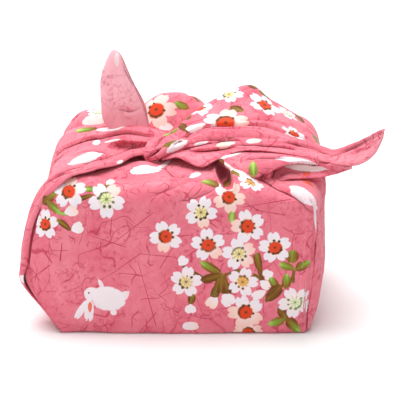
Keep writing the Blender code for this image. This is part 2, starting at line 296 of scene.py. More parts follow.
wrapSet = {
    "width": 130, "depth": 112, "top": 76, "edgeDrop": 9, "dome": 7,
    "liftFrom": 50,  # the wall above this is drawn up to the rim
    "clear": 0.6, "baseRise": 1.5,  # how far above the table the walls and the base start
    "flapSpacing": 0.8, "restSpacing": 2.1,
    "baseRings": 5, "wallRings": 56, "edgeRings": 14, "topRings": 36,
    "waves": ((24, 0.9, 5), (11, 0.5, 1), (5, 0.25, 2)),
    "columns": ("z", "frontOut", "backOut", "creaseOut", "creaseIn", "earOut", "earIn", "sideOut",
                "rearEarOut", "hemOut", "rightOut", "rightIn", "rightSideOut", "rightRearOut"),
    "walls": (
        (0, 0.8, -0.5, -1.5, 0.2, 0, 5, -0.8, -0.4, -2, -0.4, 11, -1, -0.6),
        (10, 1.6, 1, 4.5, 0.8, 9, 9, 2.2, 4.2, -2, 4.6, 16, 2.2, 3.2),
        (23, 2, 1.5, 12.5, 4, 18.4, 15, 6.2, 9.2, -2, 8.2, 23, 4.7, 7.2),
        (36, 2, 1.5, 14.5, 5.5, 18.6, 16, 7.7, 11.2, -1.2, 8.5, 26, 5.7, 9.2),
        (50, 1.5, 1, 12, 6, 16.4, 16, 7.7, 10.7, 0, 7.5, 27, 6.2, 10.2),
        (67, 0.5, 0.5, 7, 7, 8.5, 15, 3.2, 6.2, 0.5, 5.5, 27, 5.2, 9.7),
    ),
    "flap": (76, -9.5, -10, -7, 14, -1, 21, -1, -1, -11, -2.5, 26, -2, 0),
    "puffs": (  # x, y, reach in x, reach in y, height
        (-7, 43, 24, 21, 26.5),
        (-52.5, 43, 14.5, 17, 19.5),
        (40, 40, 24, 18, 12),
        (28, -38, 7, 13, 3.5),
        (-54, -40, 17, 11, 4.5),
        (-27, -30, 13, 10, 3.5),
    ),
    "mouth": {"across": 13.4, "up": 13.4, "halfLength": 8.6, "halfWidth": 4.3, "tilt": 18,
              "depth": 9, "lip": 1.1, "inward": (0.1, 0.75, -0.65)},
    # view, widths, depth (below 0 is a ridge) and route of each pressed fold
    "folds": (
        ("front", (0.9, 2.6), 2, ((31, 13), (34.7, 10.4), (47, 4), (53.9, -0.2), (59.9, -6.1))),
        ("front", (2.4, 2.4), -0.7, ((34, 9.5), (44, 3.5), (52, -4), (56, -11))),
        ("front", (0.9, 1.3), 1.2, ((10, 12), (2, 10.5), (-8, 9), (-17, 5), (-26, 2))),
        ("front", (0.9, 1.1), 1, ((11, 8), (5, 4), (-3, 1), (-12, -1))),
        ("front", (0.9, 1.2), 1.3, ((-20, 19), (-17, 15), (-12, 12), (-4, 13))),
        ("front", (1.8, 1.8), 0.7, ((-74, 6), (-66, -4), (-62, -16), (-61, -30))),
        ("front", (3, 3), -0.9, ((-80, -20), (-78, -36), (-74, -52), (-66, -68))),
        ("front", (2.2, 2.2), 0.8, ((-84, -36), (-80, -50), (-72, -62))),
        ("front", (2.6, 2.6), 0.6, ((54, -30), (57, -44), (57.5, -58), (54, -70))),
        ("front", (1.5, 1.5), 0.5, ((47, -8), (40, -14), (33, -17))),
        ("top", (3, 3), 1.6, ((-30, 50), (-24, 38), (-20, 26), (-19, 14))),
        ("top", (2.4, 2.4), 1.3, ((2, 58), (1, 44), (-2, 32), (-8, 20))),
        ("top", (2.2, 2.2), 1.2, ((-44, 56), (-41, 44), (-36, 30), (-30, 18))),
        ("top", (2, 2), 1, ((14, 52), (8, 40), (0, 28))),
        ("back", (2.6, 2.6), 1.4, ((-40, 84), (-30, 66), (-22, 46), (-18, 24))),
        ("back", (2.2, 2.2), 1.1, ((-4, 92), (-2, 72), (2, 52), (3, 34))),
        ("back", (2.4, 2.4), 1.2, ((44, 78), (38, 60), (34, 40), (36, 18))),
        ("back", (1.8, 1.8), 0.8, ((20, 84), (16, 70), (10, 58))),
        ("back", (3, 3), -1.2, ((-58, 8), (-40, 4), (-10, 6), (30, 4))),
    ),
}


def wallAt(z):
    rows = [dict(zip(wrapSet["columns"], row)) for row in wrapSet["walls"]]
    for lower, upper in zip(rows, rows[1:]):
        if z <= upper["z"]:
            share = (z - lower["z"]) / (upper["z"] - lower["z"])
            return {key: lower[key] + share * (upper[key] - lower[key]) for key in lower}
    return rows[-1]


def wallPlan(size):
    # the plan of the wall as two runs: the front flap from its hem to the left crease, and the
    # rest from the crease round by the left and the back to behind the hem
    sideX, frontY = wrapSet["width"] / 2, -wrapSet["depth"] / 2
    quarter = sideX / 2
    front, back = frontY - size["frontOut"], -frontY + size["backOut"]
    crease = np.array([-sideX - size["creaseOut"], frontY + size["creaseIn"]])
    ear = np.array([-sideX - size["earOut"], frontY + size["earIn"]])
    trough = (crease + ear) / 2 + 0.34 * np.array([ear[1] - crease[1], crease[0] - ear[0]])
    left, rearLeft = -sideX - size["sideOut"], -sideX - size["rearEarOut"]
    right, rearRight = sideX + size["rightSideOut"], sideX + size["rightRearOut"]
    hem = sideX + size["hemOut"]
    flap = [(hem, front + 1.6), (hem - 4, front + 0.6), (quarter, front + 0.3), (0, front),
            (-quarter, front + 0.3), (crease[0] + 13, front + 1.6), tuple(crease)]
    rest = [tuple(crease), tuple(trough), tuple(ear), (left - 3, -24), (left, -2), (left - 1, 22),
            (rearLeft, 43), (rearLeft + 6, back - 4.5), (rearLeft + 17, back),
            (-0.6 * quarter, back + 0.3), (0.6 * quarter, back), (rearRight - 17, back - 0.3),
            (rearRight - 6, back - 4.5), (rearRight, 43), (right + 1, 22), (right, -2),
            (sideX + size["rightOut"], frontY + size["rightIn"]), (hem + 2.2, front + 5.6),
            (hem - 0.6, front + 3.4), (hem, front + 1.6)]
    return np.array(flap, float), np.array(rest, float)


def topHeight(x, y):
    across = np.minimum(1.0, np.hypot(x / (wrapSet["width"] / 2), y / (wrapSet["depth"] / 2)))
    height = wrapSet["top"] + wrapSet["dome"] * (1.0 - across * across)
    for puffX, puffY, reachX, reachY, rise in wrapSet["puffs"]:
        height = height + rise * np.exp(-np.abs((x - puffX) / reachX) ** 3
                                        - np.abs((y - puffY) / reachY) ** 3)
    return height


def wrapGrid():
    # Rings from the middle of the base out, up the walls, over the rounded edge and in to the
    # middle of the top. Each ring starts at the front flap's hem.
    wallTop, liftFrom = wrapSet["walls"][-1][0], wrapSet["liftFrom"]
    levels = np.linspace(wrapSet["clear"], wallTop, wrapSet["wallRings"])
    plans = [wallPlan(wallAt(z)) for z in levels]
    flaps, rests = (smoothRun(np.array([plan[side] for plan in plans]).swapaxes(0, 1), spacing)
                    for side, spacing in enumerate((wrapSet["flapSpacing"], wrapSet["restSpacing"])))
    rings = np.concatenate([flaps[:-1], rests], axis=0).swapaxes(0, 1)
    flapPlan = wallPlan(dict(zip(wrapSet["columns"], wrapSet["flap"])))
    cap = np.concatenate([resample(smoothRun(flapPlan[0], 0.5), len(flaps))[:-1],
                          resample(smoothRun(flapPlan[1], 0.5), len(rests))])
    edge = rings[-1]
    rim = topHeight(edge[:, 0], edge[:, 1]) - wrapSet["edgeDrop"]
    grid = [np.column_stack([rings[0] * share, np.full(len(edge), wrapSet["baseRise"])])
            for share in np.linspace(0, 1, wrapSet["baseRings"] + 1)[:-1]]
    for z, ring in zip(levels, rings):
        lift = max(0.0, (z - liftFrom) / (wallTop - liftFrom)) * (rim - wallTop)
        grid.append(np.column_stack([ring, z + lift]))
    top = topHeight(cap[:, 0], cap[:, 1])
    for angle in np.linspace(0, 0.5 * math.pi, wrapSet["edgeRings"] + 1)[1:]:
        plan = edge + (cap - edge) * (1 - math.cos(angle))
        grid.append(np.column_stack([plan, rim + (top - rim) * math.sin(angle)]))
    for share in 1 - np.linspace(0, 1, wrapSet["topRings"] + 1)[1:] ** 1.15:
        plan = cap * share
        grid.append(np.column_stack([plan, topHeight(plan[:, 0], plan[:, 1])]))
    return np.array(grid)


def pressMouth(grid):
    # the hollow between two folds of the front edge: steep sides, its left edge a fold
    mouth = wrapSet["mouth"]
    places = seen(grid)
    tilt = math.radians(mouth["tilt"])
    across, up = places[..., 0] - mouth["across"], places[..., 1] - mouth["up"]
    along = (up * math.cos(tilt) - across * math.sin(tilt)) / mouth["halfLength"]
    aside = (across * math.cos(tilt) + up * math.sin(tilt)) / mouth["halfWidth"]
    front = (grid[..., 1] < -20) & (grid[..., 2] > 40)
    share = np.hypot(along, aside)
    depth = mouth["depth"] * np.clip(1.15 * (1 - share**3), 0, 1) * front
    lip = mouth["lip"] * np.exp(-(((share - 1.12) / 0.16) ** 2)) * front
    inward = np.array(mouth["inward"]) / np.linalg.norm(mouth["inward"])
    return grid + inward * (depth - lip)[..., None]


def makeWrap():
    # hemmed on the walls only
    grid, shade = pressFolds(pressMouth(wrapGrid()), wrapSet["folds"], closed=True)
    hemmed = (wrapSet["baseRings"], wrapSet["baseRings"] + wrapSet["wallRings"])
    return clothPiece("clothWrap", ripple(grid, wrapSet["waves"]), shade, hemmed)


leftArmSet = {
    "spacing": 0.72, "hem": True,
    # hem, pleat c, pleat b, pocket, lip, pleat a, rear, rear hem, from the foot to the knot
    "rows": (
        ((-65.8, -50.5, 1), (-66, -48, 1), (-66.2, -42, 1), (-66, -32, 1), (-66, -22, 1), (-66, -4, 1),
         (-66.4, 32, 1), (-64.5, 52, 1)),
        ((-73.6, -46.5, 10), (-74.2, -44.5, 10), (-73.8, -38, 10), (-71.5, -30, 10), (-70, -20, 10),
         (-69.2, -2, 10), (-70.6, 32, 10), (-68.5, 50, 10)),
        ((-83.5, -43.5, 23), (-84.8, -42.5, 23), (-85.2, -37, 23), (-80.5, -30, 23), (-76.5, -20, 23),
         (-73, -2, 23), (-75.6, 32, 23), (-73, 50, 23)),
        ((-80.8, -45.2, 36), (-83.6, -44.5, 36), (-85.4, -39.5, 36), (-81, -30, 36), (-77.5, -20, 36),
         (-74.6, -2, 36), (-77.5, 32, 36), (-75, 50, 36)),
        ((-78.7, -46, 50), (-81.3, -44.5, 50), (-82.9, -39, 50), (-80.5, -30, 50), (-77, -20, 50),
         (-74.5, -2, 50), (-77, 32, 50), (-74.5, 50, 50)),
        ((-74.7, -47, 62), (-77.2, -44.5, 62), (-79.2, -38, 62.5), (-76.7, -29, 62.5),
         (-74.2, -19, 62.5), (-72.2, -2, 63), (-74.2, 33, 63), (-71.7, 51, 63)),
        ((-68.5, -50, 72), (-71.5, -46.5, 73), (-73, -37, 74), (-72.5, -28, 74), (-71.5, -18, 74),
         (-70.5, -1, 74), (-71, 36, 74), (-67.5, 53, 72)),
        ((-61.5, -49.5, 78.8), (-64, -46, 80), (-66, -38, 80.6), (-66.5, -27, 81.3), (-67, -15, 81.7),
         (-67, -1, 81.2), (-67, 38, 82), (-63.5, 54, 78)),
        ((-57, -48, 82), (-57, -42, 82.4), (-58.5, -30.5, 81.6), (-57.5, -19, 84), (-57, -7, 85.6),
         (-56.5, 1, 85.6), (-59.9, 40, 85.9), (-56, 49, 80)),
        ((-46, -41, 83.6), (-45.5, -36.5, 84.8), (-46, -30.5, 83.6), (-46, -18, 85.2), (-46, -5, 88.6),
         (-46, 1.5, 90.4), (-47, 24, 91.3), (-45, 38, 83)),
        ((-34, -33.5, 84.2), (-34, -29, 85.9), (-34, -24.5, 85.8), (-34, -8, 87), (-34, -11, 91.4),
         (-34, -3, 92.4), (-34.5, 9, 94.9), (-33, 22, 87)),
        ((-26.4, -25, 86.2), (-26.5, -22.5, 87.9), (-26, -19, 88.3), (-26, -12, 88.4),
         (-26, -14.5, 91.9), (-26, -7.5, 93.6), (-25.4, 4, 95.8), (-24, 11, 89)),
        ((-14, -18, 86), (-14, -15, 88), (-14, -13, 88.5), (-14, -11, 88.8), (-13, -11, 90),
         (-11, -7.5, 91.2), (-9, -1, 92.6), (-8, 5, 88)),
    ),
    "sharp": (1, 2, 4, 5),
    "arch": (0.16, 0.16, 0, 0, 0.08, 0.07, 0),
    "folds": (
        ("front", (0.7, 2.8), 2.6, ((-79.5, 20.5), (-77, 24.6), (-72.2, 28.5), (-59, 32.9), (-45.8, 35),
         (-37.4, 35.4), (-26.3, 33.3))),
        ("front", (0.7, 2), 1.4, ((-79.1, 12.1), (-73.6, 15.6), (-65.9, 18.3), (-59, 21.1),
         (-50.7, 23.2), (-43, 25.6), (-38.2, 28.1), (-34, 30.5))),
        ("front", (0.6, 1.4), 1.8, ((-83.8, 7.6), (-80, 10.9), (-75.1, 13.3), (-67.5, 15.2), (-58, 17))),
        ("front", (0.7, 1.8), 1.8, ((-83.3, 10.3), (-81.4, 15.8), (-79.5, 20.1), (-74, 25))),
        ("front", (0.6, 0.9), 1.2, ((-70, 24), (-62, 26.4), (-55, 26), (-49, 24.6))),
        ("front", (0.6, 1.2), 1.2, ((-66, 36.5), (-58, 38.5), (-47, 40.2), (-36, 40))),
    ),
}

rightArmSet = {
    "spacing": 0.87, "hem": False,
    # under, front, top, valley, tent low, tent middle, ridge, rear, from the knot to the foot
    "rows": (
        ((-14, -19, 79), (-14, -20, 80.5), (-14, -18, 82.5), (-14, -16, 83.5), (-14, -15, 84),
         (-14, -13, 84.5), (-14, -11, 85), (-13, -8, 84)),
        ((-18, -21, 81), (-20.5, -22.5, 83.5), (-21.8, -21.5, 86.5), (-21.6, -19.5, 88),
         (-21.3, -18.5, 88.8), (-20.5, -16, 90), (-19.5, -13, 90.8), (-17.5, -8, 88)),
        ((-14, -21.5, 83), (-14, -23.8, 85.5), (-14.5, -22, 89), (-14.5, -19.5, 90), (-14.5, -18, 90.7),
         (-14.3, -14.5, 92), (-13.8, -11, 92.8), (-12, -5, 91)),
        ((-6.5, -17, 85.5), (-7, -20.5, 88), (-6.8, -18.5, 91), (-6.3, -14.5, 91.8), (-6, -12.5, 92.6),
         (-5.5, -8, 94.3), (-4.9, -2, 95.7), (-2, 4, 92)),
        ((3.5, -10, 87), (3, -13, 89.5), (3.5, -9.5, 92.6), (4.2, -4.5, 92.6), (4.2, -2.5, 93.8),
         (3.6, 6, 96.8), (2.5, 14, 98.8), (6, 22, 92)),
        ((11, -8, 88.5), (10.8, -11.5, 91.2), (11.2, -7, 95.2), (11.5, -3, 93), (11.6, -0.5, 96),
         (11, 14, 100.2), (11.5, 26, 102.4), (14, 34, 94)),
        ((21, -8, 89.5), (20.8, -11.5, 92.3), (21, -7, 96.3), (21.3, -2.8, 93.8), (21.5, 0.5, 97.4),
         (21.5, 17, 102), (21.8, 34, 106.8), (22, 46, 96)),
        ((37, -8, 89), (37, -11.5, 92), (36, -7.5, 96.2), (35.5, -3.2, 93.6), (35.5, 0.5, 97.2),
         (36, 20, 103), (36.6, 41, 110), (36, 54, 92)),
        ((53, -8, 87), (52.5, -12, 89.8), (52, -9.5, 93), (51.5, -6, 91), (51, -3, 93),
         (50.5, 20, 97.4), (48.5, 44, 101), (47, 57, 86)),
        ((63, -15, 83), (62.5, -17, 85.5), (62, -14, 87.5), (61.5, -9, 88), (61, -5, 89), (61, 20, 92),
         (60, 47, 93.2), (56, 58, 80)),
        ((60, -27, 76), (66, -26, 77.5), (70, -21, 79.5), (71, -13, 81.5), (71, -8, 82), (71.5, 20, 85),
         (70.5, 49, 86.5), (62, 58, 76)),
        ((61, -35, 69), (68.5, -32.5, 71.5), (72.3, -25, 72.7), (73.3, -14, 73.5), (73.5, -8, 73.5),
         (75, 20, 75.5), (75.5, 46, 76), (65, 57, 70)),
        ((67.3, -51, 60), (69.5, -45, 60), (71.5, -36, 60), (72.8, -26, 60), (72.8, -16, 60),
         (73, 8, 60), (77, 40, 60), (66.5, 56, 60)),
        ((67.8, -51.5, 50), (70, -46, 50), (71.8, -37, 50), (73.1, -27, 50), (73.3, -15, 50),
         (73.3, 8, 50), (77.3, 40, 50), (67, 56.5, 50)),
        ((66.8, -52, 36), (69.8, -47, 36), (71.8, -38, 36), (73.4, -28, 36), (73, -14, 36),
         (72.6, 8, 36), (76.2, 40, 36), (66, 56.5, 36)),
        ((65.5, -53, 23), (69, -48.5, 23), (71, -40, 23), (72.8, -30, 23), (72, -14, 23), (71.5, 8, 23),
         (74.2, 40, 23), (65, 56.5, 23)),
        ((64, -54, 10), (67, -50.5, 10), (68.6, -44, 10), (69.8, -36, 10), (69.5, -14, 10),
         (69.2, 8, 10), (70.2, 42, 10), (62.5, 56.5, 10)),
        ((63.8, -54.5, 1), (65, -52, 1), (65.6, -47, 1), (66, -38, 1), (65.8, -14, 1), (65.8, 8, 1),
         (66, 44, 1), (59, 56, 1)),
    ),
    "sharp": (3,),
    "arch": (0, 0.05, 0.1, 0, 0, 0, 0),
    "folds": (
        ("front", (0.9, 1.6), 2.2, ((-15.2, 28.8), (-12, 31), (-8.3, 33.3), (-4.8, 35.4), (0.8, 38.5),
         (6.3, 40), (17.4, 40.5), (31.4, 40.3), (38.3, 38.8), (47.9, 35.7), (59.9, 32.5))),
        ("front", (1, 1), 1, ((-1, 44), (4, 49), (10, 54))),
        ("front", (1.4, 1), 1.2, ((20, 42), (31, 43.5), (42, 42), (49, 38.5))),
        ("front", (1, 1.4), 1, ((30, 58), (34, 52), (37, 46))),
        ("front", (1.2, 1.2), 1, ((44, 50), (52, 45), (59, 38))),
        ("front", (0.7, 0.8), 1.6, ((-25, 27.2), (-21.8, 31.6), (-18.5, 34.6), (-15.2, 37))),
        ("front", (0.7, 1.2), 1.8, ((-28.8, 22.9), (-25.6, 24.8), (-21.8, 27.5), (-19.3, 29.7))),
        ("front", (0.6, 0.9), 1.4, ((-27.2, 20.6), (-21.8, 22.9), (-16.3, 25), (-10.9, 26.9))),
    ),
}

tailSet = {
    "spacing": 0.55, "hem": True,
    # lens hem, lens middle, line 2, roll, edge, back, back hem, from the knot to the tip
    "rows": (
        ((-12, -21, 83), (-12, -20.5, 84), (-12, -19, 85), (-12, -18, 86), (-12, -14, 88),
         (-12, -11, 86), (-12, -14, 82)),
        ((-4, -24.5, 85.5), (-4, -21.5, 86), (-3.5, -17.5, 86.2), (-3.5, -16.5, 87), (-3.5, -12, 88),
         (-3.5, -10, 85), (-3.5, -14, 82)),
        ((0.8, -29, 84.8), (0.5, -23, 86.2), (0.6, -17.5, 86.6), (1, -15.5, 88.2), (1, -11, 89.3),
         (1, -9, 86), (1, -14, 82)),
        ((8.7, -32, 82.7), (8.5, -24, 85.7), (8, -18.5, 86.2), (9, -15.5, 89.3), (9, -10, 91.3),
         (9, -8, 88), (9, -14, 82)),
        ((16.5, -28.5, 85.2), (16.5, -23, 86.8), (17, -18.5, 86.8), (17.5, -15, 90), (18, -9.5, 92.3),
         (18, -8, 88), (18, -15, 82)),
        ((28.7, -22, 88.4), (28.8, -20, 88.3), (29, -18.5, 88), (28.5, -14.5, 91), (28, -9.5, 92.8),
         (28, -8, 88.5), (28, -15, 82)),
        ((45, -24, 88.8), (45, -21, 89), (45, -18.5, 89), (45, -14.5, 90.8), (45, -9.5, 92),
         (45, -8.5, 87), (45, -16, 81)),
        ((60, -27, 87), (60, -23.5, 88), (60, -19.5, 88.5), (60.5, -15, 90), (61, -10, 91.5),
         (61, -10, 86), (61, -18, 80)),
        ((73.5, -28.5, 84), (73.5, -24.5, 85.2), (73.7, -20.5, 86), (73.8, -17, 87), (74, -13, 87.9),
         (74, -13, 83), (74, -20, 79)),
        ((80, -28.5, 82.5), (80, -25, 84), (80, -21.5, 85.3), (80, -18, 86.5), (79.8, -15, 87.5),
         (80, -15, 83), (80, -22, 79)),
        ((91, -26.5, 82.3), (91, -24, 85), (91, -21.5, 87.5), (91.2, -19, 90.3), (91.4, -17, 93.1),
         (91, -16, 88), (91, -21, 83)),
        ((99.2, -23, 87.3), (99.5, -22, 89.7), (99.8, -20.5, 92), (100, -19, 95), (100.3, -18, 97.7),
         (100, -17.5, 93), (99.5, -20, 89)),
        ((103.2, -19.5, 95), (103.6, -19.2, 96.2), (104, -18.8, 97.4), (104.3, -18.4, 98.5),
         (104.6, -18, 99.5), (104.3, -17.6, 98), (103.6, -18.2, 96)),
    ),
    "sharp": (2,),
    "arch": (0.1, 0.06, 0.08, 0.1, 0, 0),
    "folds": (
        ("front", (0.6, 1.4), 2, ((-15.2, 27.5), (-8.3, 31.3), (-2, 32.9), (6.3, 33.9), (13.6, 34.1))),
        ("front", (0.6, 1.6), 2, ((-12, 26.1), (-4.4, 28.3), (2.7, 30.5), (12, 31.8), (21.8, 32.1))),
        ("front", (0.6, 1.2), 1.8, ((-8.9, 26.8), (0, 26.4), (8.7, 27.2), (19.6, 28.6))),
        ("front", (0.6, 1.2), 1.5, ((19.6, 29.4), (30.5, 29.7), (41.4, 28.8), (52.3, 27.2))),
        ("front", (0.6, 1.4), 1.5, ((45.7, 31), (54.4, 29.4), (64.2, 26.7), (70.8, 23.9))),
        ("front", (0.7, 1.2), 0.9, ((66, 22), (76, 25), (86, 29.5), (94, 34))),
    ),
}

drapeSet = {
    "spacing": 0.6, "hem": False,
    # under, turn, low, middle, top: the part that hangs below the tail, from its left end
    "rows": (
        ((18, -24, 83), (18, -26, 84), (17.8, -28.5, 85.5), (17.3, -26.5, 85.9), (17, -25, 86)),
        ((22, -27, 80), (22, -31, 81), (21.9, -34, 83.3), (22, -29, 86), (22, -22, 87)),
        ((28, -30, 78), (28, -36, 78.5), (27.7, -38, 80.3), (28, -31, 85), (28, -20, 87.5)),
        ((36, -38, 77.8), (35, -38.5, 78.3), (34.5, -40, 79.2), (34, -33, 85), (34, -21, 87.8)),
        ((41.4, -37, 78.2), (42, -35.5, 79.5), (41.4, -38, 80.3), (41, -32, 85.5), (41, -22, 88)),
        ((49.2, -36, 77.8), (49.5, -32.5, 80.5), (49.4, -34, 83.6), (49.3, -30, 86.5), (49, -23, 88)),
        ((59.5, -35, 77.6), (60, -30.5, 81), (60, -31.8, 84.4), (60, -29.5, 86), (60, -26, 87)),
        ((70, -33, 77.6), (72.5, -29.5, 80.5), (72.6, -30.3, 83.3), (72.3, -29, 84), (72, -27, 84.5)),
        ((78.7, -30, 78.3), (79.5, -28.5, 80), (80, -29.3, 81.8), (80, -28.3, 82.3), (80, -27, 82.8)),
        ((87, -27, 80.4), (87, -27, 80.6), (87, -27.8, 80.8), (87, -27, 81.2), (87, -26.5, 81.6)),
    ),
    "sharp": (2,),
    "arch": (0, 0, 0.1, 0.08),
    "folds": (
        ("front", (0.7, 5), 3, ((32, 10.6), (37, 14.4), (41.9, 17.4), (47.9, 19.1), (55.5, 19.9),
         (68.6, 19.3))),
        ("front", (0.6, 1), 1, ((24, 21), (34, 22.5), (46, 22.4))),
    ),
}

hornSet = {
    "spacing": 0.7, "hem": False,
    # front edge, front, fold, back, back edge, from the knot up to the tip
    "rows": (
        ((-18, 1, 86), (-24, -1, 86), (-32, 3, 86), (-25, 7, 86), (-18, 8, 86)),
        ((-20, 4, 96), (-31, 3, 96), (-43.2, 7, 96), (-31, 11, 96), (-20, 12, 96)),
        ((-23, 5, 107), (-33, 4, 107), (-45.2, 8, 107), (-32, 12, 107), (-22, 13, 106)),
        ((-29, 6, 120), (-36, 6, 120), (-45.6, 9, 120), (-35, 12.5, 119), (-28, 13, 118)),
        ((-32.3, 6.5, 128), (-36, 6.3, 128.5), (-43, 9.3, 128.5), (-35.5, 12.8, 128), (-31.8, 13, 127)),
        ((-34.3, 7.5, 133), (-36.8, 7.2, 133.6), (-40.6, 9.6, 133.6), (-36.8, 12.5, 133.3),
         (-34.2, 12.4, 132.5)),
        ((-36.4, 9, 135.6), (-37.4, 8.8, 135.9), (-38.6, 9.8, 136), (-37.4, 11, 135.8),
         (-36.4, 10.8, 135.5)),
        ((-37.4, 9.9, 136), (-37.4, 9.9, 136.1), (-37.6, 9.9, 136.1), (-37.4, 9.9, 136),
         (-37.4, 9.9, 135.9)),
    ),
    "sharp": (),
    "arch": (0.06, 0.06, 0, 0),
    "folds": (
        ("front", (1, 2), 0.9, ((-49, 66), (-47.5, 58), (-46, 50), (-45, 43))),
        ("front", (0.9, 1.6), 0.8, ((-33, 50), (-38, 48), (-44, 49.5))),
        ("front", (0.8, 0.9), 0.9, ((-42.4, 74), (-39.5, 68), (-36.8, 62.5))),
    ),
}

fanSets = {
    "leftArm": leftArmSet, "rightArm": rightArmSet, "tail": tailSet, "tailDrape": drapeSet, "horn": hornSet,
}


def makeFan(name, settings):
    grid = fanGrid(settings["rows"], settings["sharp"], settings["arch"], settings["spacing"])
    grid, shade = pressFolds(grid, settings["folds"])
    count = len(grid)
    if settings["hem"]:
        past = stepSums(grid, 1) - clothSet["hemWidth"]
        proud = clothSet["hemRise"] / (1 + np.exp(past * clothSet["hemEdge"]))
        grid = grid + gridNormals(grid) * proud[..., None]
    hemmed = (0 if settings["hem"] else count, count)
    return clothPiece(name, ripple(grid, clothSet["waves"]), shade, hemmed)


